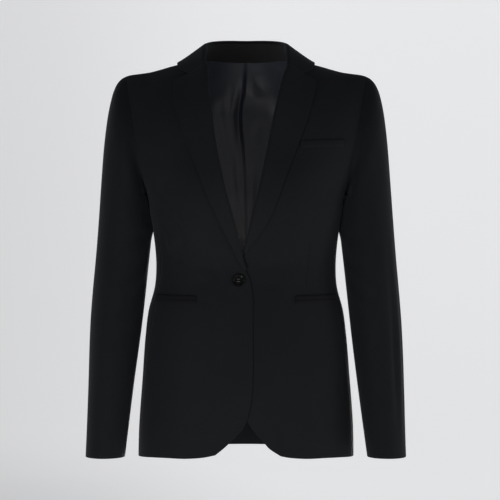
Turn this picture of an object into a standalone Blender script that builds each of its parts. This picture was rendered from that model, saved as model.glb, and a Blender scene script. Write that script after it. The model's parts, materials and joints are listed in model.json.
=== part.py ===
"""A women's single breasted blazer, worn and hollow, as separate cut pieces.

Metres, +Z up, the front faces -Y and the wearer's left is +X. The origin lies at the base of
the neck between the shoulder seams, where the shoulders of the wearer hold the garment.
Every panel is a wall on one form: a soft torso whose sections come from FORM and whose
shoulder line comes from RIDGE. Panels are patches between their seam lines, pushed out onto
that form, so neighbours share the same seam points and stand one seam gap apart.
"""

import functools
import math

import bmesh
import bpy
import numpy as np
from mathutils import Matrix, Vector
from mathutils.bvhtree import BVHTree

OBJECT_NAME = "Single Breasted Blazer"

# Cloth and seams.
CLOTH = 0.0020  # wall of a panel, cloth and its backing
SEAM_GAP = 0.0004  # between two pieces at a seam
TIGHT_GAP = 0.0006  # the same where a seam turns sharply: along the sleeves and under the roll
REST_GAP = 0.0008  # between a piece and what lies on it, over faceted panels
FALL_GAP = 0.0014  # between the collar and the shoulders under it
LINING = 0.0010
LINING_REST = 0.0006  # between the back and its lining
LINING_HEM = 0.0080  # how far the lining ends above the hem
LINING_SET_IN = 0.0010  # how far it stays inside the back's other edges
LIP = 0.0015  # how far a pocket lip or the breast welt stands proud

# Landmarks.
SHOULDER_X = 0.199  # shoulder point, from the middle
NECK_X = 0.075  # where the shoulder seam meets the neck
NECK_BACK = (0.071, 0.0100)  # depth and height of the neck seam at the centre back
UNDERARM = (0.1635, -0.2200)
GORGE_Z = -0.0117  # height of the gorge seam's inner end
BREAK_Z = -0.3420  # where the right lapel starts to turn
LEFT_BREAK_Z = -0.3140  # where the left lapel goes under the right front

# Form: sections of the torso. z, half width, front depth, back depth, roundness (2 is an ellipse).
FORM = (
    (0.060, 0.2130, 0.086, 0.096, 2.20),
    (-0.020, 0.2130, 0.098, 0.108, 2.20),
    (-0.080, 0.2110, 0.108, 0.116, 2.25),
    (-0.120, 0.2060, 0.114, 0.118, 2.30),
    (-0.160, 0.1920, 0.121, 0.117, 2.40),
    (-0.190, 0.1765, 0.126, 0.114, 2.50),
    (-0.220, 0.1635, 0.128, 0.110, 2.50),
    (-0.250, 0.1588, 0.126, 0.104, 2.45),
    (-0.277, 0.1540, 0.121, 0.098, 2.40),
    (-0.303, 0.1508, 0.114, 0.092, 2.35),
    (-0.337, 0.1490, 0.106, 0.088, 2.30),
    (-0.370, 0.1510, 0.107, 0.090, 2.30),
    (-0.410, 0.1610, 0.112, 0.097, 2.30),
    (-0.450, 0.1660, 0.117, 0.106, 2.30),
    (-0.520, 0.1718, 0.122, 0.115, 2.30),
    (-0.600, 0.1770, 0.124, 0.119, 2.30),
    (-0.670, 0.1785, 0.124, 0.119, 2.30),
)
# Shoulder line seen from the front: x, z.
RIDGE = (
    (0.000, 0.0440),
    (0.030, 0.0370),
    (0.050, 0.0280),
    (0.063, 0.0205),
    (0.075, 0.0145),
    (0.090, 0.0065),
    (0.110, -0.0022),
    (0.126, -0.0066),
    (0.143, -0.0116),
    (0.159, -0.0157),
    (0.176, -0.0182),
    (0.193, -0.0207),
    (0.199, -0.0225),
    (0.215, -0.0300),
)
SHOULDER_DROP = 0.130  # height over which the shoulder rounds into the chest and back
BUST_X, BUST_Z = 0.085, -0.225  # middle of the fullness that the front darts give
BUST_FULL, BUST_WIDE, BUST_HIGH = 0.007, 0.045, 0.070

# Edges seen from the front, the opening side of each front: z, x. The rows above the break
# are the turned edge of the lapel and collar, the rows below it the front edge and cutaway.
RIGHT_EDGE = (
    (0.0145, -0.0715),
    (0.0065, -0.0690),
    (-0.0117, -0.0630),
    (-0.0482, -0.0609),
    (-0.0767, -0.0560),
    (-0.1176, -0.0515),
    (-0.1500, -0.0463),
    (-0.1984, -0.0366),
    (-0.2400, -0.0262),
    (-0.2767, -0.0158),
    (-0.3104, -0.0079),
    (-0.3297, -0.0045),
    (-0.3442, 0.0002),
    (-0.3555, 0.0050),
    (-0.3683, 0.0082),
    (-0.4388, 0.0106),
    (-0.5187, 0.0106),
    (-0.5395, 0.0098),
    (-0.5762, 0.0036),
    (-0.5842, 0.0014),
    (-0.5997, -0.0073),
    (-0.6158, -0.0222),
    (-0.6308, -0.0383),
    (-0.6394, -0.0490),
)
LEFT_EDGE = (
    (0.0145, 0.0715),
    (0.0065, 0.0700),
    (-0.0117, 0.0660),
    (-0.0311, 0.0590),
    (-0.0550, 0.0535),
    (-0.0850, 0.0468),
    (-0.1257, 0.0387),
    (-0.1581, 0.0322),
    (-0.1984, 0.0242),
    (-0.2384, 0.0146),
    (-0.2783, 0.0050),
    (-0.3024, -0.0014),
    (-0.3200, -0.0063),
    (-0.3394, -0.0180),
    (-0.3587, -0.0290),
    (-0.4100, -0.0270),
    (-0.4548, -0.0207),
    (-0.5506, -0.0046),
    (-0.5842, 0.0020),
    (-0.5997, 0.0119),
    (-0.6168, 0.0269),
    (-0.6308, 0.0398),
    (-0.6394, 0.0530),
)
# Radius of the turned edge: z, radius at the middle of the cloth.
ROLL = (
    (0.0145, 0.0035),
    (-0.2400, 0.0035),
    (-0.3000, 0.0026),
    (-0.3420, 0.0017),
)
# Hem, front: distance from the middle, z.
HEM_FRONT = (
    (0.049, -0.6394),
    (0.063, -0.6428),
    (0.093, -0.6463),
    (0.132, -0.6467),
    (0.153, -0.6475),
    (0.178, -0.6500),
)
HEM_BACK_Z = -0.6432

# Heights of the rows below the armhole, at the side seams.
ROW_Z = (
    -0.6500,
    -0.6410,
    -0.6290,
    -0.6150,
    -0.5990,
    -0.5800,
    -0.5500,
    -0.5100,
    -0.4700,
    -0.4350,
    -0.4100,
    -0.3900,
    -0.3700,
    -0.3500,
    -0.3300,
    -0.3100,
    -0.2850,
    -0.2550,
    -0.2250,
)

# Seams of the side panel: z, x on the front, x on the back.
SIDE_SEAMS = (
    (-0.195, 0.1680, 0.1680),
    (-0.235, 0.1535, 0.1500),
    (-0.280, 0.1440, 0.1380),
    (-0.335, 0.1390, 0.1300),
    (-0.399, 0.1492, 0.1360),
    (-0.430, 0.1540, 0.1395),
    (-0.470, 0.1620, 0.1440),
    (-0.540, 0.1700, 0.1490),
    (-0.600, 0.1745, 0.1515),
    (-0.650, 0.1760, 0.1530),
)

# Lapels seen from the front: outer edge z, x, and the corners of the top.
RIGHT_LAPEL = (
    (-0.0325, -0.1185),
    (-0.0482, -0.1180),
    (-0.0721, -0.1165),
    (-0.1006, -0.1080),
    (-0.1481, -0.0914),
    (-0.1847, -0.0767),
    (-0.2209, -0.0626),
    (-0.2656, -0.0426),
    (-0.3104, -0.0202),
    (-0.3297, -0.0110),
    (-0.3420, -0.0045),
)
LEFT_LAPEL = (
    (-0.0344, 0.1136),
    (-0.0480, 0.1132),
    (-0.0622, 0.1092),
    (-0.0774, 0.1053),
    (-0.1172, 0.0926),
    (-0.1385, 0.0849),
    (-0.2000, 0.0618),
    (-0.2560, 0.0402),
    (-0.2944, 0.0160),
    (-0.3060, 0.0062),
    (-0.3140, 0.0010),
)
NOTCH = (0.0918, -0.0245)  # inner corner of the notch, x and z
LAPEL_GORGE = 0.64  # share of the lapel's top that the gorge seam takes
COLLAR_GORGE = 0.72  # share of the collar's end that the gorge seam takes
NOTCH_REACH = 0.86  # share of the lapel's height above which its knee turns to the notch

# Collar, half of it, from the centre back (0) over the shoulder seam (1) to the gorge (2):
# station, roll centre x, y, z, outer edge x, y, z.
COLLAR = (
    (0.00, 0.0000, 0.0670, 0.0388, 0.0000, 0.0905, -0.0080),
    (0.35, 0.0330, 0.0590, 0.0383, 0.0480, 0.0830, -0.0070),
    (0.70, 0.0560, 0.0350, 0.0345, 0.0870, 0.0520, -0.0040),
    (1.00, 0.0668, 0.0060, 0.0285, 0.1090, 0.0100, -0.0015),
    (1.25, 0.0688, -0.0141, 0.0234, 0.1112, -0.0055, -0.0040),
    (1.50, 0.0698, -0.0316, 0.0144, 0.1120, -0.0200, -0.0075),
    (1.75, 0.0705, -0.0469, 0.0027, 0.1108, -0.0310, -0.0112),
    (2.00, 0.0664, -0.0560, -0.0090, 0.1080, -0.0400, -0.0150),
)
STAND_END = 1.90  # station where the stand has run out under the roll
MOST_START = 1.2  # steepest angle, in radians, at which the stand comes into the turn
FOOT_RISE = 0.0007  # height of the stand's foot over the neck seam
RUN_OUT = (1.6, 2.0)  # stations over which the turn opens to that of the lapel
KNEE_RUN = (1.75, 2.0)  # stations over which the collar's knee comes to the notch
GORGE_REACH = 0.010  # height over which the roll's direction at the gorge is taken
LEAF_FALL = 1.6  # how soon a lapel comes down onto the front from its turn

# Sleeve, the left one: inner edge x, z, outer edge x, z, depth to the front, to the back,
# middle y, and how far the ring still follows the armhole.
SLEEVE = (
    (0.1635, -0.2200, 0.1990, -0.0225, 0.0640, 0.0660, 0.000, 1.00),
    (0.1645, -0.2240, 0.2062, -0.0265, 0.0655, 0.0675, 0.000, 0.75),
    (0.1642, -0.2285, 0.2125, -0.0330, 0.0665, 0.0685, 0.000, 0.50),
    (0.1634, -0.2345, 0.2175, -0.0420, 0.0670, 0.0695, 0.000, 0.28),
    (0.1618, -0.2430, 0.2225, -0.0570, 0.0670, 0.0700, -0.001, 0.12),
    (0.1596, -0.2550, 0.2290, -0.0890, 0.0665, 0.0695, -0.003, 0.00),
    (0.1574, -0.2690, 0.2352, -0.1400, 0.0650, 0.0670, -0.004, 0.00),
    (0.1565, -0.2850, 0.2400, -0.2020, 0.0635, 0.0645, -0.005, 0.00),
    (0.1583, -0.3050, 0.2448, -0.2750, 0.0620, 0.0625, -0.006, 0.00),
    (0.1612, -0.3300, 0.2488, -0.3300, 0.0605, 0.0605, -0.008, 0.00),
    (0.1735, -0.4365, 0.2581, -0.4365, 0.0565, 0.0565, -0.016, 0.00),
    (0.1870, -0.5400, 0.2628, -0.5400, 0.0520, 0.0520, -0.031, 0.00),
    (0.2017, -0.6524, 0.2656, -0.6524, 0.0465, 0.0465, -0.050, 0.00),
)
SLEEVE_CAP_ROWS = 9  # the rows above are rings as they stand, those below are divided
SLEEVE_STEPS = 2

# Pockets and button.
HIP_SLIT = ((0.0800, -0.3905), (0.1475, -0.3895))  # x, z of the slit's two ends
HIP_LIP_HIGH = 0.0060
WELT_TOP = ((0.0880, -0.1350), (0.1580, -0.1315))  # x, z of the top edge's two ends
WELT_HIGH = 0.0115
BUTTON_AT = (-0.0118, -0.3593)
BUTTON_RADIUS, BUTTON_THICK = 0.0100, 0.0036
BUTTON_REST = 0.0005  # how far the thread holds the button off the cloth
BUTTON_HOLE_AT, BUTTON_HOLE_RADIUS = 0.0019, 0.0009
THREAD_RADIUS = 0.0005

# How the right front rises over the left one.
LAP_FROM, LAP_TO = -0.072, -0.040
LAP_TOP, LAP_BOTTOM = -0.220, -0.300

# Mesh steps.
ARMHOLE_STEPS = 26
FRONT_SEAM_STEP, BACK_SEAM_STEP = 10, 16  # armhole steps where the side panel's seams start
SHOULDER_STEPS = 8
NECK_STEPS = 4
SLEEVE_FRONT_SEAM, SLEEVE_BACK_SEAM = 9, 17
ROLL_STEPS = 4
COLLAR_STEPS = 16  # for each half, half of them behind the shoulder seam
STAND_STEPS = 2

RIGHT, LEFT = -1.0, 1.0
FRONT, BACK = -1.0, 1.0

CLOTH_COLOUR = (0.011, 0.011, 0.013)
LINING_COLOUR = (0.022, 0.022, 0.025)
BUTTON_COLOUR = (0.006, 0.006, 0.007)


def smooth(at, stations, values):
    """Values of a smooth curve through a table's rows, held level past its ends."""
    stations = np.array(stations, float)
    values = np.array(values, float)
    if stations[0] > stations[-1]:
        stations, values = stations[::-1], values[::-1]
    at = np.clip(np.asarray(at, float), stations[0], stations[-1])
    slopes = np.gradient(values, stations)
    row = np.clip(np.searchsorted(stations, at) - 1, 0, len(stations) - 2)
    step = stations[row + 1] - stations[row]
    t = (at - stations[row]) / step
    start = (2 * t**3 - 3 * t**2 + 1) * values[row] + (t**3 - 2 * t**2 + t) * step * slopes[row]
    end = (3 * t**2 - 2 * t**3) * values[row + 1] + (t**3 - t**2) * step * slopes[row + 1]
    return start + end


def column(table, index):
    """One column of a table."""
    return [row[index] for row in table]


def read(table, at, index=1):
    """A table's column read at a station, the table's first column being the stations."""
    return smooth(at, column(table, 0), column(table, index))


def ease(value, start, stop):
    """0 before start, 1 after stop and smooth between, for start below or above stop."""
    t = np.clip((np.asarray(value, float) - start) / (stop - start), 0, 1)
    return t * t * (3 - 2 * t)


def unit(vectors):
    """The vectors at length 1."""
    return vectors / np.maximum(np.linalg.norm(vectors, axis=-1, keepdims=True), 1e-12)


# The form.


def depth(x, z, side):
    """How far the form reaches from the middle plane at x, z, to the front or to the back."""
    x = np.abs(np.asarray(x, float))
    half = read(FORM, z, 1)
    reach = read(FORM, z, 2 if side == FRONT else 3)
    roundness = read(FORM, z, 4)
    below = np.clip((read(RIDGE, x) - z) / SHOULDER_DROP, 0, 1)
    cap = np.sqrt(1 - (1 - below) ** 2)
    out = reach * np.clip(1 - (x / half) ** roundness, 0, 1) ** (1 / roundness) * cap
    if side == FRONT:
        spread = ((x - BUST_X) / BUST_WIDE) ** 2 + ((z - BUST_Z) / BUST_HIGH) ** 2
        out = out + BUST_FULL * cap * np.exp(-spread)
    return out


def on_front(x, z):
    """Points of the form's front at x, z."""
    x, z = np.broadcast_arrays(np.asarray(x, float), np.asarray(z, float))
    return np.stack([x, -depth(x, z, FRONT), z], axis=-1)


def on_back(x, z):
    """Points of the form's back at x, z."""
    x, z = np.broadcast_arrays(np.asarray(x, float), np.asarray(z, float))
    return np.stack([x, depth(x, z, BACK), z], axis=-1)


def core(points):
    """The point inside the form that each point is pushed out from."""
    softness, level = 0.03, -0.14
    height = points[..., 2]
    lowered = height - softness * np.logaddexp(0, (height - level) / softness)
    return np.stack([0.55 * points[..., 0], 0 * height, lowered], axis=-1)


def inside(points):
    """Whether each point is inside the form."""
    x, y, z = points[..., 0], points[..., 1], points[..., 2]
    return np.abs(y) < np.where(y < 0, depth(x, z, FRONT), depth(x, z, BACK))


def drape(points):
    """The points pushed out or in along the line from the form's core, onto the form."""
    points = np.asarray(points, float)
    start = core(points)
    ray = points - start
    low = np.full(points.shape[:-1], 0.3)
    high = np.full(points.shape[:-1], 2.2)
    for _ in range(40):
        middle = (low + high) / 2
        kept = inside(start + ray * middle[..., None])
        low, high = np.where(kept, middle, low), np.where(kept, high, middle)
    return start + ray * low[..., None]


def form_normals(points, step=0.0015):
    """Outward normals of the form at points on it."""
    ray = unit(points - core(points))
    side = unit(np.cross(ray, np.array([0.13, 0.31, 0.94])))
    up = np.cross(ray, side)
    across = drape(points + step * side) - drape(points - step * side)
    along = drape(points + step * up) - drape(points - step * up)
    normals = unit(np.cross(across, along))
    return np.where((normals * ray).sum(-1, keepdims=True) < 0, -normals, normals)


# Seam lines.


def armhole(steps):
    """Armhole of the left side from the shoulder point down the front, round and up the back."""
    angle = 2 * math.pi * np.asarray(steps, float) / ARMHOLE_STEPS
    top = read(RIDGE, SHOULDER_X)
    share = (1 - np.cos(angle)) / 2
    x = SHOULDER_X + (UNDERARM[0] - SHOULDER_X) * share
    z = top + (UNDERARM[1] - top) * share
    y = np.where(np.sin(angle) > 0, -depth(x, z, FRONT), depth(x, z, BACK))
    y = np.where(np.abs(np.sin(angle)) < 1e-9, 0, y)
    return np.stack([x, y, z], axis=-1)


def shoulder_seam(share):
    """Shoulder seam of the left side from the neck (0) to the shoulder point (1)."""
    x = NECK_X + (SHOULDER_X - NECK_X) * np.asarray(share, float)
    return np.stack([x, 0 * x, read(RIDGE, x)], axis=-1)


def back_neck(share):
    """Neck seam of the left side from the centre back (0) to the shoulder seam (1)."""
    angle = np.asarray(share, float) * math.pi / 2
    top = read(RIDGE, NECK_X)
    z = NECK_BACK[1] + (top - NECK_BACK[1]) * np.asarray(share, float)
    curve = np.stack([NECK_X * np.sin(angle), NECK_BACK[0] * np.cos(angle), z], axis=-1)
    out = drape(curve)
    out[share == 1.0] = (NECK_X, 0, top)
    return out


def rim(side, z):
    """Edge of a front's cloth at height z: the turned edge lies one roll radius further in."""
    edge = RIGHT_EDGE if side == RIGHT else LEFT_EDGE
    setback = read(ROLL, z) * ease(z, BREAK_Z, BREAK_Z + 0.03)
    return read(edge, z) + side * setback


def lap(points):
    """How far the right front is raised over the left one."""
    across = ease(points[..., 0], LAP_FROM, LAP_TO)
    return (CLOTH + REST_GAP) * across * ease(points[..., 2], LAP_TOP, LAP_BOTTOM)


def seam_heights(arm):
    """Heights of a side seam's points from the hem to the armhole's point where it ends."""
    return np.array([*ROW_Z, arm[0, 2]])


def heights_share(line):
    """How far up each point of a line is, of 1 from its first point to its last."""
    return (line[:, 2] - line[0, 2]) / (line[-1, 2] - line[0, 2])


# Patches.


def patch(left, right, bottom, top):
    """Coons patch between four lines of points, rows running from bottom to top."""
    u = np.linspace(0, 1, len(bottom))[None, :, None]
    v = np.linspace(0, 1, len(left))[:, None, None]
    across = left[:, None] * (1 - u) + right[:, None] * u
    along = bottom[None] * (1 - v) + top[None] * v
    corners = (
        bottom[0] * (1 - u) * (1 - v) + bottom[-1] * u * (1 - v) + top[0] * (1 - u) * v + top[-1] * u * v
    )
    return across + along - corners


def draped_patch(left, right, bottom, top):
    """A patch whose inner points lie on the form and whose border is the four lines."""
    points = patch(left, right, bottom, top)
    points[1:-1, 1:-1] = drape(points[1:-1, 1:-1])
    return points


def mirrored(points, side):
    """Points of the left side put on the given side."""
    return points * np.array([side, 1.0, 1.0])


def front_points(side):
    """Outer points of a front: the left boundary is the opening edge, the right the side."""
    steps = np.arange(FRONT_SEAM_STEP, -1, -1)
    arm = armhole(steps)
    seam_z = seam_heights(arm)
    seam = on_front(read(SIDE_SEAMS, seam_z), seam_z)
    seam[-1] = arm[0]
    outer = np.concatenate([seam, arm[1:]])
    share = heights_share(outer)
    corner_z = RIGHT_EDGE[-1][0]
    neck_z = read(RIDGE, NECK_X)
    edge_z = corner_z + (neck_z - corner_z) * share
    edge = on_front(rim(side, edge_z), edge_z)
    edge[:, 0] *= side
    edge[-1] = shoulder_seam(0.0)
    columns = np.linspace(0, 1, SHOULDER_STEPS + 1)
    hem_x = edge[0, 0] + (outer[0, 0] - edge[0, 0]) * columns
    hem = on_front(hem_x, read(HEM_FRONT, hem_x))
    hem[0], hem[-1] = edge[0], outer[0]
    points = mirrored(draped_patch(edge, outer, hem, shoulder_seam(columns)), side)
    if side == RIGHT:
        points = points + form_normals(points) * lap(points)[..., None]
    return points


def side_points():
    """Outer points of the left side panel."""
    arm = armhole(np.arange(FRONT_SEAM_STEP, BACK_SEAM_STEP + 1))
    seam_z = seam_heights(arm)
    front = on_front(read(SIDE_SEAMS, seam_z), seam_z)
    back = on_back(read(SIDE_SEAMS, seam_z, 2), seam_z)
    front[-1], back[-1] = arm[0], arm[-1]
    share = np.linspace(0, 1, len(arm))[:, None]
    hem = drape(front[0] * (1 - share) + back[0] * share)
    hem[0], hem[-1] = front[0], back[0]
    return draped_patch(front, back, hem, arm)


def back_points():
    """Outer points of the left back from the centre back seam to the side seam."""
    arm = armhole(np.arange(BACK_SEAM_STEP, ARMHOLE_STEPS + 1))
    seam_z = seam_heights(arm)
    seam = on_back(read(SIDE_SEAMS, seam_z, 2), seam_z)
    seam[-1] = arm[0]
    outer = np.concatenate([seam, arm[1:]])
    share = heights_share(outer)
    centre_z = HEM_BACK_Z + (NECK_BACK[1] - HEM_BACK_Z) * share
    centre = on_back(0.0, centre_z)
    neck = back_neck(np.linspace(0, 1, NECK_STEPS + 1))
    centre[-1] = neck[0]
    top = np.concatenate([neck, shoulder_seam(np.linspace(0, 1, SHOULDER_STEPS + 1))[1:]])
    hem_x = outer[0, 0] * np.linspace(0, 1, len(top))
    hem_z = HEM_BACK_Z + (outer[0, 2] - HEM_BACK_Z) * (hem_x / outer[0, 0]) ** 2
    hem = on_back(hem_x, hem_z)
    hem[0], hem[-1] = centre[0], outer[0]
    points = draped_patch(centre, outer, hem, top)
    points[:, 0, 0] = 0
    return points


def sleeve_rings():
    """Points of the left sleeve, a row for each ring and a column for each armhole step."""
    rows = len(SLEEVE)
    steps = np.concatenate(
        [
            np.arange(SLEEVE_CAP_ROWS),
            np.linspace(SLEEVE_CAP_ROWS, rows - 1, (rows - 1 - SLEEVE_CAP_ROWS) * SLEEVE_STEPS + 1),
        ]
    )
    columns = [smooth(steps, range(rows), column(SLEEVE, k))[:, None] for k in range(8)]
    in_x, in_z, out_x, out_z, front, back, middle, follow = columns
    arm = armhole(np.arange(ARMHOLE_STEPS + 1))[None]
    angle = 2 * math.pi * np.arange(ARMHOLE_STEPS + 1)[None] / ARMHOLE_STEPS
    share = (1 - np.cos(angle)) / 2
    x = out_x + (in_x - out_x) * share
    z = out_z + (in_z - out_z) * share
    oval = -np.sin(angle) * np.where(np.sin(angle) > 0, front, back)
    y = middle + follow * arm[..., 1] + (1 - follow) * oval
    return np.stack([x, y, z], axis=-1)


# Turned edges: lapels and collar.


def surface_normals(points, closed=False):
    """Normals of a grid of points, on the side of across x along."""
    if closed:
        wrapped = np.concatenate([points[:, -2:-1], points, points[:, 1:2]], axis=1)
        across = (wrapped[:, 2:] - wrapped[:, :-2]) / 2
    else:
        across = np.gradient(points, axis=1)
    return unit(np.cross(across, np.gradient(points, axis=0)))


def turned(roll, leaf, seam, along):
    """Vectors of a turned edge: out of the leaf, out of the turn, and the angle where it starts."""
    away = leaf - roll
    away = unit(away - along * (away * along).sum(-1, keepdims=True))
    out = np.cross(along, away)
    outward = roll - core(roll)
    out = np.where((out * outward).sum(-1, keepdims=True) < 0, -out, out)
    rise = roll - seam
    start = np.arctan2((rise * out).sum(-1), np.maximum(-(rise * away).sum(-1), 1e-9))
    return out, -away, np.clip(start, 0, MOST_START)


def level_start(out, back, normals):
    """The angle at which a turn starts level with a front's cut edge."""
    return np.arctan2(-(normals * back).sum(-1), (normals * out).sum(-1))


def turn_points(roll, out, back, start, radius, steps):
    """Points round the turn, a row for each roll point."""
    share = np.linspace(0, 1, steps + 1)[None, :, None]
    angle = start[:, None, None] * (1 - share) + math.pi * share
    return roll[:, None] + radius[:, None, None] * (
        back[:, None] * np.sin(angle) - out[:, None] * np.cos(angle)
    )


def panel_tree(points):
    """The faces between a panel's points, in which a place on the panel can be looked up."""
    rows, columns = points.shape[:2]
    index = np.arange(rows * columns).reshape(rows, columns)
    faces = np.stack([index[:-1, :-1], index[:-1, 1:], index[1:, 1:], index[1:, :-1]], axis=-1)
    return BVHTree.FromPolygons(points.reshape(-1, 3).tolist(), faces.reshape(-1, 4).tolist())


@functools.cache
def front_tree(side):
    """The faces of a front's outer side."""
    return panel_tree(front_points(side))


def front_surface(side, x, z):
    """Points and normals of a front's own outer side, as its faces have it."""
    guess = on_front(x, z)
    normals = form_normals(guess)
    tree = front_tree(side)
    points = guess.copy()
    for place in np.ndindex(guess.shape[:-1]):
        start = Vector((guess[place][0], -1.0, guess[place][2]))
        hit = tree.ray_cast(start, Vector((0.0, 1.0, 0.0)))[0]
        points[place] = hit or tree.find_nearest(Vector(guess[place]))[0]
    return points, normals


def bent_steps(inner, knee, outer, bend):
    """Lines of a leaf from its turn over its knee to its edge, each with its share of the way."""
    half = (1 + bend) / 2
    return (
        (bend / 2, (inner + knee) / 2),
        (bend, knee),
        (half, (knee + outer) / 2),
        (1.0, outer),
    )


def front_edge(side, z):
    """Points and normals on the cut edge that a front really has, at heights z."""
    edge = front_points(side)[:, 0]
    points = np.stack([np.interp(z, edge[:, 2], edge[:, k]) for k in range(3)], axis=-1)
    return points, form_normals(points)


def lapel_heights(side, low):
    """Heights from a lapel's lower end to the gorge, one at each point of the front's edge."""
    own = front_points(side)[:, 0, 2]
    between = own[(own > low + SEAM_GAP) & (own < GORGE_Z - SEAM_GAP)]
    return np.array([low, *between, GORGE_Z])


def gorge_frame(side):
    """The roll's centre at the gorge, and the mean direction of the roll there, going up."""
    points, normals = front_edge(side, np.array([GORGE_Z - GORGE_REACH, GORGE_Z]))
    roll = points + normals * (ROLL[0][1] - CLOTH / 2)
    after = np.array(COLLAR[-2][1:4]) * (side, 1, 1) - roll[1]
    return roll[1], unit(unit(roll[1] - roll[0]) + unit(after))


def lapel_points(side):
    """Middle points and normals of a lapel: the turn first, then the leaf to its outer edge."""
    edge = RIGHT_LAPEL if side == RIGHT else LEFT_LAPEL
    low = BREAK_Z if side == RIGHT else LEFT_BREAK_Z
    roll_z = lapel_heights(side, low)
    share = (roll_z - low) / (GORGE_Z - low)
    edge_z = edge[-1][0] + (edge[0][0] - edge[-1][0]) * share
    radius = read(ROLL, roll_z)
    rim_points, rim_normals = front_edge(side, roll_z)
    roll = rim_points + rim_normals * (radius - CLOTH / 2)[:, None]
    corner = np.array([side * NOTCH[0], NOTCH[1]])
    inner = np.stack([roll[:, 0], roll_z], axis=-1)
    outer = np.stack([read(edge, edge_z), edge_z], axis=-1)
    knee = inner + (outer - inner) * LAPEL_GORGE
    knee = knee + (corner - knee[-1]) * ease(share, NOTCH_REACH, 1.0)[:, None]
    leaf = []
    for step, flat in bent_steps(inner, knee, outer, LAPEL_GORGE):
        base, normals = front_surface(side, flat[:, 0], flat[:, 1])
        above = REST_GAP + (2 * radius - CLOTH - REST_GAP) * (1 - step) ** LEAF_FALL
        leaf.append(base + normals * (above + CLOTH / 2)[:, None])
    along = unit(np.gradient(roll, axis=0))
    along[-1] = gorge_frame(side)[1]
    out, back, _ = turned(roll, leaf[1], rim_points, along)
    turn = turn_points(roll, out, back, level_start(out, back, rim_normals), radius, ROLL_STEPS)
    points = np.concatenate([turn, np.stack(leaf, axis=1)], axis=1)
    normals = surface_normals(points)
    normals[:, 0] = rim_normals * np.sign((normals[:, 0] * rim_normals).sum(-1, keepdims=True))
    return points, normals


def neck_edge(side, stations):
    """Points on the cut edge that the panels really have, back (0 to 1) and front (1 to 2)."""
    back = mirrored(back_neck(np.linspace(0, 1, NECK_STEPS + 1)), side)
    front = front_points(side)[:, 0][::-1]
    run = np.concatenate([[0], np.cumsum(np.linalg.norm(np.diff(front, axis=0), axis=1))])
    gorge = np.interp(-GORGE_Z, -front[:, 2], run)
    knots = np.concatenate([np.linspace(0, 1, NECK_STEPS + 1), 1 + run[1:] / gorge])
    points = np.concatenate([back, front[1:]])
    return np.stack([np.interp(stations, knots, points[:, k]) for k in range(3)], axis=-1)


def collar_half(side):
    """Seam, roll, its direction and the leaf's edge of one half of the collar, from centre back."""
    stations = np.linspace(0, 2, COLLAR_STEPS + 1)
    table = np.array(COLLAR)
    table[:, [1, 4]] *= side
    end, direction = gorge_frame(side)
    table[-1, 1:4] = end
    roll = np.stack([read(table, stations, k) for k in (1, 2, 3)], axis=-1)
    edge = drape(np.stack([read(table, stations, k) for k in (4, 5, 6)], axis=-1))
    edge = edge + form_normals(edge) * (FALL_GAP + CLOTH / 2)
    along = unit(np.gradient(roll, axis=0))
    along[-1] = -direction
    return stations, neck_edge(side, stations), roll, along, edge


def collar_points():
    """Middle points and normals of the collar, then of its stand, right gorge to left gorge."""
    halves = [collar_half(side) for side in (RIGHT, LEFT)]
    halves[0][3][...] *= -1
    stations = np.concatenate([-halves[0][0][:0:-1], halves[1][0]])
    seam, roll, along, edge = (
        np.concatenate([halves[0][k][:0:-1], halves[1][k]]) for k in (1, 2, 3, 4)
    )
    radius = np.full(len(roll), ROLL[0][1])
    notch = []
    for side in (RIGHT, LEFT):
        base, normal = front_surface(side, side * NOTCH[0], NOTCH[1])
        notch.append(base + normal * (REST_GAP + CLOTH / 2))
    notch = np.where(stations[:, None] < 0, notch[0], notch[1])
    to_notch = ease(np.abs(stations), *KNEE_RUN)[:, None]
    run_out = ease(np.abs(stations), *RUN_OUT)
    out, back, start = turned(roll, edge + (notch - edge) * to_notch, seam, along)
    seam_normals = form_normals(seam)
    start = start + (level_start(out, back, seam_normals) - start) * run_out
    turn = turn_points(roll, out, back, start, radius, ROLL_STEPS)
    first = turn[:, -1]
    knee = first + (edge - first) * COLLAR_GORGE
    knee = knee + (notch - knee) * to_notch
    leaf = np.stack([line for _, line in bent_steps(first, knee, edge, COLLAR_GORGE)], axis=1)
    seat = drape(leaf)
    normals = form_normals(seat)
    above = ((leaf - seat) * normals).sum(-1)
    least = FALL_GAP + (REST_GAP - FALL_GAP) * to_notch + CLOTH / 2
    leaf = leaf + normals * np.maximum(least - above, 0)[..., None]
    foot = seam + seam_normals * (FOOT_RISE - (FOOT_RISE + CLOTH / 4) * run_out)[:, None]
    foot = foot + unit(turn[:, 0] - foot) * SEAM_GAP
    share = np.linspace(0, 1, STAND_STEPS + 1)[None, :-1, None]
    stand = foot[:, None] * (1 - share) + turn[:, :1] * share
    fall = np.concatenate([turn, leaf], axis=1)
    whole = np.concatenate([stand, fall], axis=1)
    normals = surface_normals(whole)
    stands = np.abs(stations) <= STAND_END
    way = unit(whole[:, STAND_STEPS + 1] - whole[:, STAND_STEPS - 1]) * TIGHT_GAP / 2
    top = fall[stands, 0] - way[stands]
    fall_normals = surface_normals(fall)
    fall_normals[stands] = normals[stands, STAND_STEPS:]
    fall[stands, 0] += way[stands]
    fall[~stands, 0] += unit(fall[~stands, 1] - fall[~stands, 0]) * SEAM_GAP
    facing = np.sign((fall_normals[:, 0] * seam_normals).sum(-1, keepdims=True))
    fall_normals[~stands, 0] = (seam_normals * facing)[~stands]
    stand = np.concatenate([stand[stands], top[:, None]], axis=1)
    return fall, fall_normals, stand, normals[stands, : STAND_STEPS + 1]


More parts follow.
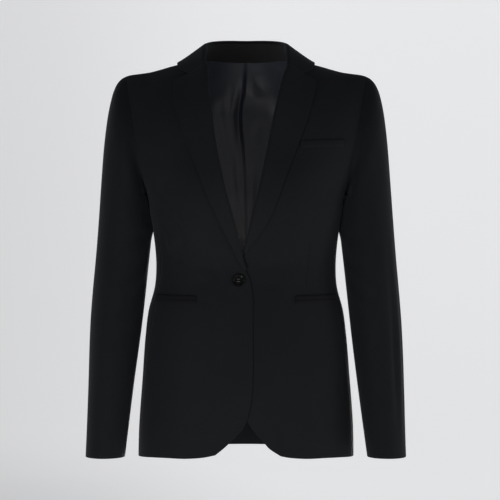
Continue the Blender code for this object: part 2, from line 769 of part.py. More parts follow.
def share_gorge(lapel, lapel_normals, collar, collar_normals, row, inward):
    """Gives a lapel's top and a collar's end the same gorge line, one seam gap apart."""
    joined = slice(0, ROLL_STEPS + 3)
    line = (lapel[-1, joined] + collar[row, joined]) / 2
    facing = np.sign((lapel_normals[-1, joined] * collar_normals[row, joined]).sum())
    normals = unit(lapel_normals[-1, joined] * facing + collar_normals[row, joined])
    cut = unit(np.cross(np.gradient(line, axis=0), normals))
    cut = cut * np.sign((cut * (collar[inward, joined] - line)).sum())
    lapel[-1, joined] = line - cut * SEAM_GAP / 2
    collar[row, joined] = line + cut * SEAM_GAP / 2
    lapel_normals[-1, joined] = normals * facing
    collar_normals[row, joined] = normals


# Meshes.


def trim(outer, inner, gap=SEAM_GAP / 2, rows=(False, True), columns=(True, True)):
    """Both sides of a wall with the chosen border lines moved in, square to the border."""
    outer, inner = outer.copy(), inner.copy()
    borders = ((0, 1, rows[0], 0), (-1, -2, rows[1], 0), (0, 1, columns[0], 1), (-1, -2, columns[1], 1))
    for border, within, wanted, axis in borders:
        if wanted:
            place = (border,) if axis == 0 else (slice(None), border)
            next_to = (within,) if axis == 0 else (slice(None), within)
            line = outer[place]
            cut = unit(np.cross(np.gradient(line, axis=0), line - inner[place]))
            inward = (cut * (outer[next_to] - line)).sum(-1, keepdims=True)
            cut = np.where(inward < 0, -cut, cut)
            outer[place] += cut * gap
            inner[place] += cut * gap
    return outer, inner


def make_material(name, colour, roughness):
    """A plain finish."""
    material = bpy.data.materials.new(name)
    material.use_nodes = True
    shader = material.node_tree.nodes["Principled BSDF"]
    shader.inputs["Base Color"].default_value = (*colour, 1.0)
    shader.inputs["Roughness"].default_value = roughness
    shader.inputs["Metallic"].default_value = 0.0
    material.diffuse_color = (*colour, 1.0)
    return material


def add_object(name, mesh, collection, colour=CLOTH_COLOUR, roughness=0.8):
    """An object of a mesh, in its own material."""
    obj = bpy.data.objects.new(name, mesh)
    mesh.materials.append(make_material(name, colour, roughness))
    collection.objects.link(obj)
    return obj


def make_wall(name, outer, inner, collection, colour=CLOTH_COLOUR, roughness=0.8):
    """A closed wall between two grids of points."""
    rows, columns = outer.shape[:2]
    bm = bmesh.new()
    bmesh.ops.create_grid(bm, x_segments=columns - 1, y_segments=rows - 1, size=1)
    place = bm.verts.layers.int.new("place")
    inner_points = inner.reshape(-1, 3)
    outer_points = outer.reshape(-1, 3)
    for index, vert in enumerate(bm.verts):
        vert[place] = index
        vert.co = inner_points[index]
    made = bmesh.ops.extrude_face_region(bm, geom=bm.faces[:], use_keep_orig=True)
    for vert in made["geom"]:
        if isinstance(vert, bmesh.types.BMVert):
            vert.co = outer_points[vert[place]]
    bmesh.ops.recalc_face_normals(bm, faces=bm.faces[:])
    mesh = bpy.data.meshes.new(name)
    bm.to_mesh(mesh)
    bm.free()
    mesh.shade_smooth()
    mesh.set_sharp_from_angle(angle=math.radians(40))
    return add_object(name, mesh, collection, colour, roughness)


def side_name(side):
    """The wearer's side."""
    return "right" if side == RIGHT else "left"


def add_body(collection):
    """Fronts, side panels and backs."""
    for side in (RIGHT, LEFT):
        panels = {
            "front": front_points(side),
            "side_panel": mirrored(side_points(), side),
            "back": mirrored(back_points(), side),
        }
        for name, points in panels.items():
            outer, inner = trim(points, points - form_normals(points) * CLOTH)
            if name == "back":
                outer[:, 0, 0] = side * SEAM_GAP / 2
                inner[:, 0, 0] = side * SEAM_GAP / 2
            make_wall(f"{name}_{side_name(side)}", outer, inner, collection)


def add_lining(collection):
    """The two halves of the back lining, just inside the backs and short of the hem."""
    points = back_points()
    normals = form_normals(points)
    outer = points - normals * (CLOTH + LINING_REST)
    inner = outer - normals * LINING
    outer, inner = trim(outer, inner, LINING_HEM, rows=(True, False), columns=(False, False))
    outer, inner = trim(outer, inner, LINING_SET_IN, columns=(False, True))
    outer[:, 0, 0] = SEAM_GAP / 2
    inner[:, 0, 0] = SEAM_GAP / 2
    for side in (RIGHT, LEFT):
        name = f"back_lining_{side_name(side)}"
        sides = mirrored(outer, side), mirrored(inner, side)
        make_wall(name, *sides, collection, LINING_COLOUR, 0.45)


def add_sleeves(collection):
    """Top and under sleeves."""
    rings = sleeve_rings()
    normals = surface_normals(rings, closed=True)
    outward = rings - rings[:, :-1].mean(axis=1, keepdims=True)
    normals = np.where((normals * outward).sum(-1, keepdims=True) < 0, -normals, normals)
    arm = rings[0]
    body = form_normals(arm)
    along = np.concatenate([arm[-2:-1], arm, arm[1:2]])
    across = unit(np.cross(unit(along[2:] - along[:-2]), body))
    outside = arm.mean(axis=0) - arm
    across = np.where((across * outside).sum(-1, keepdims=True) < 0, -across, across)
    rings[0] = arm + body * SEAM_GAP + across * SEAM_GAP / 2
    lean = np.maximum((normals[0] * across).sum(-1, keepdims=True), 0)
    normals[0] = unit(normals[0] - across * lean)
    inner = rings - normals * CLOTH
    back, front, whole = SLEEVE_BACK_SEAM, SLEEVE_FRONT_SEAM, ARMHOLE_STEPS
    top = [step % whole for step in range(back, whole + front + 1)]
    under = list(range(front, back + 1))
    for side in (RIGHT, LEFT):
        for name, columns in (("top_sleeve", top), ("under_sleeve", under)):
            sides = trim(rings[:, columns], inner[:, columns], TIGHT_GAP / 2, rows=(False, False))
            sides = [mirrored(points, side) for points in sides]
            make_wall(f"{name}_{side_name(side)}", *sides, collection)


def add_centred_wall(name, middle, normals, collection, rows=(False, False), columns=(False, False)):
    """A wall of cloth about a grid of middle points, with the chosen borders moved in."""
    outer, inner = middle + normals * CLOTH / 2, middle - normals * CLOTH / 2
    outer, inner = trim(outer, inner, SEAM_GAP / 2, rows, columns)
    make_wall(name, outer, inner, collection)


def add_lapels_and_collar(collection):
    """Lapels, collar and collar stand."""
    fall, fall_normals, stand, stand_normals = collar_points()
    for side, row, inward in ((RIGHT, 0, 1), (LEFT, -1, -2)):
        lapel, normals = lapel_points(side)
        share_gorge(lapel, normals, fall, fall_normals, row, inward)
        add_centred_wall(f"lapel_{side_name(side)}", lapel, normals, collection, columns=(True, False))
    add_centred_wall("collar", fall, fall_normals, collection)
    add_centred_wall("collar_stand", stand, stand_normals, collection)


def add_band(name, side, low, high, collection, steps=14):
    """A flat band on a front between two lines, each given by the x, z of its two ends."""
    share = np.linspace(0, 1, steps + 1)[:, None]
    lines = [np.array(line[0]) * (1 - share) + np.array(line[1]) * share for line in (low, high)]
    flat = np.stack(lines, axis=1)
    points, normals = front_surface(side, side * flat[..., 0], flat[..., 1])
    inner = points + normals * REST_GAP
    make_wall(name, inner + normals * LIP, inner, collection)


def level(line, rise):
    """A line of x, z ends raised by the same height at both."""
    return tuple((x, z + rise) for x, z in line)


def add_pockets(collection):
    """Two lips for each hip pocket, and the breast welt on the left front."""
    for side in (RIGHT, LEFT):
        for name, low, high in (
            ("hip_lip_upper", SEAM_GAP / 2, HIP_LIP_HIGH),
            ("hip_lip_lower", -HIP_LIP_HIGH, -SEAM_GAP / 2),
        ):
            lines = level(HIP_SLIT, low), level(HIP_SLIT, high)
            add_band(f"{name}_{side_name(side)}", side, *lines, collection)
    add_band("chest_welt", LEFT, level(WELT_TOP, -WELT_HIGH), WELT_TOP, collection, 10)


def button_frame():
    """Where the button sits: its matrix, z running out of the cloth."""
    point, normal = front_surface(RIGHT, np.array([BUTTON_AT[0]]), np.array([BUTTON_AT[1]]))
    out = Vector(normal[0])
    across = Vector((0, 0, 1)).cross(out).normalized()
    up = out.cross(across)
    turn = Matrix((across, up, out)).transposed().to_4x4()
    return Matrix.Translation(Vector(point[0]) + out * BUTTON_REST) @ turn


def add_button(collection, cutters):
    """A four-hole button with a raised rim, and the two stitches through its holes."""
    place = button_frame()
    rim_in, dish = BUTTON_RADIUS * 0.78, BUTTON_THICK * 0.62
    profile = (
        (0.0, dish),
        (rim_in * 0.9, dish),
        (rim_in, BUTTON_THICK * 0.80),
        (BUTTON_RADIUS * 0.86, BUTTON_THICK),
        (BUTTON_RADIUS * 0.96, BUTTON_THICK * 0.88),
        (BUTTON_RADIUS, BUTTON_THICK * 0.55),
        (BUTTON_RADIUS * 0.93, BUTTON_THICK * 0.18),
        (BUTTON_RADIUS * 0.70, 0.0),
        (0.0, 0.0),
    )
    mesh = bpy.data.meshes.new("button")
    bm = bmesh.new()
    verts = [bm.verts.new((x, 0, z)) for x, z in profile]
    edges = [bm.edges.new(pair) for pair in zip(verts, verts[1:])]
    bmesh.ops.spin(
        bm,
        geom=verts + edges,
        cent=(0, 0, 0),
        axis=(0, 0, 1),
        angle=2 * math.pi,
        steps=20,
        use_merge=True,
    )
    bmesh.ops.remove_doubles(bm, verts=bm.verts[:], dist=1e-6)
    bmesh.ops.recalc_face_normals(bm, faces=bm.faces[:])
    bm.to_mesh(mesh)
    bm.free()
    mesh.shade_smooth()
    mesh.set_sharp_from_angle(angle=math.radians(35))
    button = add_object("button", mesh, collection, BUTTON_COLOUR, 0.2)
    button.matrix_world = place
    holes = bpy.data.meshes.new("button_holes")
    bm = bmesh.new()
    for x in (-BUTTON_HOLE_AT, BUTTON_HOLE_AT):
        for y in (-BUTTON_HOLE_AT, BUTTON_HOLE_AT):
            bmesh.ops.create_cone(
                bm,
                cap_ends=True,
                segments=8,
                radius1=BUTTON_HOLE_RADIUS,
                radius2=BUTTON_HOLE_RADIUS,
                depth=BUTTON_THICK * 3,
                matrix=Matrix.Translation((x, y, BUTTON_THICK / 2)),
            )
    bm.to_mesh(holes)
    bm.free()
    cutter = bpy.data.objects.new("button_holes", holes)
    cutter.hide_render = True
    cutter.display_type = "WIRE"
    cutter.matrix_world = place
    cutters.objects.link(cutter)
    cut = button.modifiers.new("holes", "BOOLEAN")
    cut.object = cutter
    cut.solver = "EXACT"
    add_threads(place, dish, collection)


def add_threads(place, dish, collection):
    """One stitch for each pair of holes, up through one, across and down through the other."""
    foot = THREAD_RADIUS
    head = dish + THREAD_RADIUS + SEAM_GAP
    for name, y in (("button_thread_upper", BUTTON_HOLE_AT), ("button_thread_lower", -BUTTON_HOLE_AT)):
        path = (
            (-BUTTON_HOLE_AT, y, foot),
            (-BUTTON_HOLE_AT, y, head - 0.0003),
            (-BUTTON_HOLE_AT + 0.0004, y, head),
            (BUTTON_HOLE_AT - 0.0004, y, head),
            (BUTTON_HOLE_AT, y, head - 0.0003),
            (BUTTON_HOLE_AT, y, foot),
        )
        curve = bpy.data.curves.new(name, "CURVE")
        curve.dimensions = "3D"
        curve.bevel_depth = THREAD_RADIUS
        curve.bevel_resolution = 1
        curve.use_fill_caps = True
        spline = curve.splines.new("POLY")
        spline.points.add(len(path) - 1)
        for point, at in zip(spline.points, path):
            point.co = (*at, 1.0)
        curve.materials.append(make_material(name, BUTTON_COLOUR, 0.6))
        thread = bpy.data.objects.new(name, curve)
        thread.matrix_world = place
        collection.objects.link(thread)


def make_collection(name):
    """A collection in the scene."""
    collection = bpy.data.collections.new(name)
    bpy.context.scene.collection.children.link(collection)
    return collection


def main():
    """Builds the blazer."""
    for obj in list(bpy.data.objects):
        bpy.data.objects.remove(obj, do_unlink=True)
    collection = make_collection(OBJECT_NAME)
    cutters = make_collection("Cutters")
    add_body(collection)
    add_lining(collection)
    add_sleeves(collection)
    add_lapels_and_collar(collection)
    add_pockets(collection)
    add_button(collection, cutters)


main()
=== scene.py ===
"""Dresses a women's single breasted blazer in fine black suiting, with its lining and button.

Metres, +Z up, the front faces -Y and the wearer's left is +X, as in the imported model. Each
panel is a close grid laid on the same form as the solid that it stands for, with soft folds
pressed into it, and whatever lies on a front is laid on that front's own faces.
"""

import enum
import functools
import json
import logging
import math
import sys
from collections.abc import Callable, Sequence
from dataclasses import dataclass, field
from typing import NamedTuple

import bmesh
import bpy
import numpy as np
from mathutils import Matrix, Vector
from mathutils.bvhtree import BVHTree

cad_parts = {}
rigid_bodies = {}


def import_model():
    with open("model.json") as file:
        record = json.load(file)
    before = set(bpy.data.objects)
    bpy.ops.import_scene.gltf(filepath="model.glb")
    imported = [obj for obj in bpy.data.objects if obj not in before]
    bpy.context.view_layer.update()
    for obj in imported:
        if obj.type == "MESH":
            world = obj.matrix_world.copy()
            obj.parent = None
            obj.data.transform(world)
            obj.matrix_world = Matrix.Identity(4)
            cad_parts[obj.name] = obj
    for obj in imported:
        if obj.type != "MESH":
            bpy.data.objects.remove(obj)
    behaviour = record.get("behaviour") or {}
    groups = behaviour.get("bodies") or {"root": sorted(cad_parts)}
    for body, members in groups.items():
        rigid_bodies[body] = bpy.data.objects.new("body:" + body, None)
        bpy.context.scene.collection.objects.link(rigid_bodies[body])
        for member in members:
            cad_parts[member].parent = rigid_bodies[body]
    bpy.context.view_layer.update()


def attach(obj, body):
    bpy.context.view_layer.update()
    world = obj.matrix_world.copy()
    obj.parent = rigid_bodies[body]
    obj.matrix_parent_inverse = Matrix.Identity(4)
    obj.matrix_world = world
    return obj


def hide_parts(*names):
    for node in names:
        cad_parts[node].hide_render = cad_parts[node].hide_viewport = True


Points = np.ndarray
Table = tuple[tuple[float, ...], ...]
Triple = tuple[float, float, float]
Colour = Triple
Socket = bpy.types.NodeSocket
log = logging.getLogger("blazer")


class Side(enum.Enum):
    """The wearer's side that a piece belongs to."""

    RIGHT = -1.0
    LEFT = 1.0

    @property
    def sign(self) -> float:
        """-1 on the wearer's right and 1 on the left."""
        return self.value

    def name_of(self, piece: str) -> str:
        """The name of a piece on this side."""
        return f"{piece}_{self.name.lower()}"


class Facing(enum.Enum):
    """The half of the form that a seam or a fold is read on."""

    FRONT = -1.0
    BACK = 1.0


class Panel(NamedTuple):
    """A grid of points on the outside of the cloth, and the outward normals there."""

    points: Points
    normals: Points


class Wall(NamedTuple):
    """The two faces of a wall of cloth, as grids of points of the same shape."""

    outer: Points
    inner: Points


# Curves and grids.


def smooth(at: Points | float, stations: Sequence[float], values: Sequence[float]) -> Points:
    """Values of a smooth curve through a table's rows, held level past its ends.

    Args:
        at: Where the curve is read.
        stations: Where its rows stand, rising or falling.
        values: The value of each row.

    Returns:
        The curve's values, in the shape of at.
    """
    stations = np.array(stations, float)
    values = np.array(values, float)
    if stations[0] > stations[-1]:
        stations, values = stations[::-1], values[::-1]
    at = np.clip(np.asarray(at, float), stations[0], stations[-1])
    slopes = np.gradient(values, stations)
    row = np.clip(np.searchsorted(stations, at) - 1, 0, len(stations) - 2)
    step = stations[row + 1] - stations[row]
    t = (at - stations[row]) / step
    start = (2 * t**3 - 3 * t**2 + 1) * values[row] + (t**3 - 2 * t**2 + t) * step * slopes[row]
    end = (3 * t**2 - 2 * t**3) * values[row + 1] + (t**3 - t**2) * step * slopes[row + 1]
    return start + end


def read(table: Table, at: Points | float, index: int = 1) -> Points:
    """A table's column read at a station, its first column being the stations."""
    return smooth(at, [row[0] for row in table], [row[index] for row in table])


def ease(value: Points | float, start: float, stop: float) -> Points:
    """0 before start, 1 after stop and smooth between, for start below or above stop."""
    t = np.clip((np.asarray(value, float) - start) / (stop - start), 0, 1)
    return t * t * (3 - 2 * t)


def unit(vectors: Points) -> Points:
    """The vectors at length 1."""
    return vectors / np.maximum(np.linalg.norm(vectors, axis=-1, keepdims=True), 1e-12)


def refine(values: Sequence[float], fine: int) -> Points:
    """The values with fine steps from each to the next in place of one."""
    at = np.linspace(0, len(values) - 1, (len(values) - 1) * fine + 1)
    return np.interp(at, np.arange(len(values)), np.asarray(values, float))


def curve_through(rows: Points, count: int) -> Points:
    """Points along a smooth curve through the rows of a table."""
    at = np.linspace(0, len(rows) - 1, count)
    return np.stack([smooth(at, range(len(rows)), column) for column in rows.T], axis=-1)


def nearest_on(line: Points, points: Points) -> tuple[Points, Points, Points]:
    """The place on a line of short steps that is nearest to each point.

    Args:
        line: Points along the line.
        points: The points, one a row.

    Returns:
        The number of the nearest step, the share of it that is passed, and how far off it is.
    """
    way = np.diff(line, axis=0)
    apart = points[:, None] - line[:-1]
    share = np.clip((apart * way).sum(-1) / (way**2).sum(-1), 0, 1)
    distance = np.linalg.norm(apart - way * share[..., None], axis=-1)
    step = distance.argmin(axis=1)
    row = np.arange(len(points))
    return step, share[row, step], distance[row, step]


def along_with(vectors: Points, guide: Points) -> Points:
    """The vectors, turned round where they point against the guide."""
    return np.where((vectors * guide).sum(-1, keepdims=True) < 0, -vectors, vectors)


def heights_share(line: Points) -> Points:
    """How far up each point of a line is, of 1 from its first point to its last."""
    return (line[:, 2] - line[0, 2]) / (line[-1, 2] - line[0, 2])


def mirrored(points: Points, side: Side) -> Points:
    """Points of the left side put on the given side."""
    return points * np.array([side.sign, 1.0, 1.0])


def arc_lengths(points: Points, axis: int) -> Points:
    """Distance run along a grid's lines from its first row or column."""
    steps = np.linalg.norm(np.diff(points, axis=axis), axis=-1)
    start = np.zeros_like(np.take(steps, [0], axis=axis))
    return np.concatenate([start, np.cumsum(steps, axis=axis)], axis=axis)


def coons_patch(left: Points, right: Points, bottom: Points, top: Points) -> Points:
    """A grid between four lines of points.

    Args:
        left: Line of the first column, from the bottom up.
        right: Line of the last column, from the bottom up.
        bottom: Line of the first row, from left to right.
        top: Line of the last row, from left to right.

    Returns:
        The grid, rows running from bottom to top.
    """
    u = np.linspace(0, 1, len(bottom))[None, :, None]
    v = np.linspace(0, 1, len(left))[:, None, None]
    across = left[:, None] * (1 - u) + right[:, None] * u
    along = bottom[None] * (1 - v) + top[None] * v
    low = bottom[0] * (1 - u) + bottom[-1] * u
    high = top[0] * (1 - u) + top[-1] * u
    return across + along - low * (1 - v) - high * v


def grid_normals(points: Points, closed: bool = False) -> Points:
    """Normals of a grid of points, on the side of across x along.

    Args:
        points: The grid.
        closed: Whether its last column is its first one again.

    Returns:
        A normal for each point.
    """
    if closed:
        wrapped = np.concatenate([points[:, -2:-1], points, points[:, 1:2]], axis=1)
        across = (wrapped[:, 2:] - wrapped[:, :-2]) / 2
    else:
        across = np.gradient(points, axis=1)
    return unit(np.cross(across, np.gradient(points, axis=0)))


def trim(
    wall: Wall,
    gap: float,
    rows: tuple[bool, bool] = (False, True),
    columns: tuple[bool, bool] = (True, True),
) -> Wall:
    """A wall with the chosen border lines moved in, square to the border.

    Args:
        wall: The wall.
        gap: How far the lines move in, or out where it is below 0.
        rows: Whether the first and the last row move.
        columns: Whether the first and the last column move.

    Returns:
        The trimmed wall.
    """
    outer, inner = wall.outer.copy(), wall.inner.copy()
    borders = ((0, 1, rows[0], 0), (-1, -2, rows[1], 0), (0, 1, columns[0], 1), (-1, -2, columns[1], 1))
    for border, within, wanted, axis in borders:
        if wanted:
            place = (border,) if axis == 0 else (slice(None), border)
            next_to = (within,) if axis == 0 else (slice(None), within)
            line = outer[place]
            cut = unit(np.cross(np.gradient(line, axis=0), line - inner[place]))
            cut = along_with(cut, outer[next_to] - line)
            outer[place] += cut * gap
            inner[place] += cut * gap
    return Wall(outer, inner)


# Sizes, form and pattern.


@dataclass(frozen=True)
class Cloth:
    """Thicknesses of the cloth and lining, and the room between the layers."""

    thick: float = 0.002
    seam_gap: float = 0.0001
    tight_gap: float = 0.0001
    # how far the two sides of a seam run into each other, so that no light comes through
    seam_lap: float = 0.00015
    centre_lap: float = 0.0001
    rest_gap: float = 0.0008
    fall_gap: float = 0.0014
    lining: float = 0.001
    lining_rest: float = 0.0006
    lining_set_in: float = 0.001
    lip: float = 0.0015


@dataclass(frozen=True)
class Torso:
    """The soft form that the panels lie on, and its shoulder line."""

    # z, half width, front depth, back depth, roundness (2 is an ellipse)
    sections: Table = (
        (0.06, 0.213, 0.086, 0.096, 2.2), (-0.02, 0.213, 0.098, 0.108, 2.2),
        (-0.08, 0.211, 0.108, 0.116, 2.25), (-0.12, 0.206, 0.114, 0.118, 2.3),
        (-0.16, 0.192, 0.121, 0.117, 2.4), (-0.19, 0.1765, 0.126, 0.114, 2.5),
        (-0.22, 0.1635, 0.128, 0.11, 2.5), (-0.25, 0.1588, 0.126, 0.104, 2.45),
        (-0.277, 0.154, 0.121, 0.098, 2.4), (-0.303, 0.1508, 0.114, 0.092, 2.35),
        (-0.337, 0.149, 0.106, 0.088, 2.3), (-0.37, 0.151, 0.107, 0.09, 2.3),
        (-0.41, 0.161, 0.112, 0.097, 2.3), (-0.45, 0.166, 0.117, 0.106, 2.3),
        (-0.52, 0.1718, 0.122, 0.115, 2.3), (-0.6, 0.177, 0.124, 0.119, 2.3),
        (-0.67, 0.1785, 0.124, 0.119, 2.3),
    )
    # shoulder line seen from the front: x, z
    ridge: Table = (
        (0.0, 0.044), (0.03, 0.037), (0.05, 0.028), (0.063, 0.0205), (0.075, 0.0145),
        (0.09, 0.0065), (0.11, -0.0022), (0.126, -0.0066), (0.143, -0.0116), (0.159, -0.0157),
        (0.176, -0.0182), (0.193, -0.0207), (0.199, -0.0225), (0.215, -0.03),
    )
    shoulder_drop: float = 0.13
    bust_at: tuple[float, float] = (0.085, -0.225)
    bust_full: float = 0.007
    bust_wide: float = 0.045
    bust_high: float = 0.07
    core_narrow: float = 0.55
    core_level: float = -0.14
    core_soft: float = 0.03
    # least and most that a point is pushed along its ray, and how often that span is halved
    push: tuple[float, float] = (0.3, 2.2)
    halvings: int = 34
    # a direction that no ray runs along
    askew: tuple[float, float, float] = (0.13, 0.31, 0.94)

    def depth(self, x: Points, z: Points, facing: Facing) -> Points:
        """How far the form reaches from the middle plane.

        Args:
            x: Distances across.
            z: Heights.
            facing: Whether the front or the back is read.

        Returns:
            The depths, none of them below 0.
        """
        x = np.abs(np.asarray(x, float))
        half = read(self.sections, z, 1)
        reach = read(self.sections, z, 2 if facing is Facing.FRONT else 3)
        roundness = read(self.sections, z, 4)
        below = np.clip((read(self.ridge, x) - z) / self.shoulder_drop, 0, 1)
        cap = np.sqrt(1 - (1 - below) ** 2)
        out = reach * np.clip(1 - (x / half) ** roundness, 0, 1) ** (1 / roundness) * cap
        if facing is Facing.FRONT:
            across = (x - self.bust_at[0]) / self.bust_wide
            along = (z - self.bust_at[1]) / self.bust_high
            out = out + self.bust_full * cap * np.exp(-(across**2) - along**2)
        return out

    def at(self, x: Points, z: Points, facing: Facing = Facing.FRONT) -> Points:
        """Points of the form at x, z, on its front or its back."""
        x, z = np.broadcast_arrays(np.asarray(x, float), np.asarray(z, float))
        return np.stack([x, facing.value * self.depth(x, z, facing), z], axis=-1)

    def core(self, points: Points) -> Points:
        """The point inside the form that each point is pushed out from."""
        height = points[..., 2]
        over = np.logaddexp(0, (height - self.core_level) / self.core_soft)
        lowered = height - self.core_soft * over
        return np.stack([self.core_narrow * points[..., 0], 0 * height, lowered], axis=-1)

    def drape(self, points: Points) -> Points:
        """The points pushed out or in along the line from the form's core, onto the form.

        Args:
            points: Points near the form.

        Returns:
            Points on the form.
        """
        points = np.asarray(points, float)
        start = self.core(points)
        ray = points - start
        low, high = (np.full(points.shape[:-1], reach) for reach in self.push)
        for _ in range(self.halvings):
            middle = (low + high) / 2
            x, y, z = np.moveaxis(start + ray * middle[..., None], -1, 0)
            front, back = self.depth(x, z, Facing.FRONT), self.depth(x, z, Facing.BACK)
            kept = np.abs(y) < np.where(y < 0, front, back)
            low, high = np.where(kept, middle, low), np.where(kept, high, middle)
        return start + ray * low[..., None]

    def normals(self, points: Points, step: float = 0.0015) -> Points:
        """Outward normals of the form.

        Args:
            points: Points on the form.
            step: How far to each side the slope is taken.

        Returns:
            A normal for each point.
        """
        ray = unit(points - self.core(points))
        side = unit(np.cross(ray, np.array(self.askew)))
        up = np.cross(ray, side)
        across = self.drape(points + step * side) - self.drape(points - step * side)
        along = self.drape(points + step * up) - self.drape(points - step * up)
        return along_with(unit(np.cross(across, along)), ray)

    def draped_patch(self, left: Points, right: Points, bottom: Points, top: Points) -> Points:
        """A patch whose inner points lie on the form and whose border is the four lines."""
        points = coons_patch(left, right, bottom, top)
        points[1:-1, 1:-1] = self.drape(points[1:-1, 1:-1])
        return points


@dataclass(frozen=True)
class Fold:
    """A soft trough in the cloth, or a ridge where its depth is below 0."""

    path: Table
    width: float
    depth: float
    peak: float = 0.5
    # the raised lips along a trough: share of its depth; place, width and reach in its widths
    lip: float = 0.3
    lip_at: float = 1.9
    lip_wide: float = 0.9
    lip_reach: float = 2.0
    fine: int = 30

    @functools.cache
    def line(self) -> Points:
        """Points along the fold."""
        return curve_through(np.array(self.path, float), self.fine)

    def relief(self, points: Points) -> Points:
        """How far the fold lifts each point off the form.

        Args:
            points: Points of the cloth.

        Returns:
            The lifts, below 0 in the trough and a little above it along its lips.
        """
        line = self.line()
        reach = (self.lip_at + self.lip_reach) * self.width
        flat = points.reshape(-1, 3)
        lift = np.zeros(len(flat))
        low, high = line.min(axis=0) - reach, line.max(axis=0) + reach
        near = np.flatnonzero(((flat > low) & (flat < high)).all(axis=1))
        step, share, distance = nearest_on(line, flat[near])
        along = (step + share) / (len(line) - 1)
        part = np.where(along < self.peak, along / self.peak, (1 - along) / (1 - self.peak))
        across = distance / self.width
        lips = self.lip * np.exp(-(((across - self.lip_at) / self.lip_wide) ** 2))
        lift[near] = -self.depth * ease(part, 0, 1) * (np.exp(-(across**2)) - lips)
        return lift.reshape(points.shape[:-1])


def laid_folds(table: Table, surface: Callable[[Points, Points], Points]) -> list[Fold]:
    """Folds on a surface.

    Args:
        table: For each, the two coordinates where it starts, bends and ends, then its width,
            depth and deepest share.
        surface: Gives the surface's points at those coordinates.

    Returns:
        The folds.
    """
    paths = [surface(row[0:6:2], row[1:6:2]).tolist() for row in table]
    return [Fold(tuple(map(tuple, path)), *row[6:]) for path, row in zip(paths, table)]


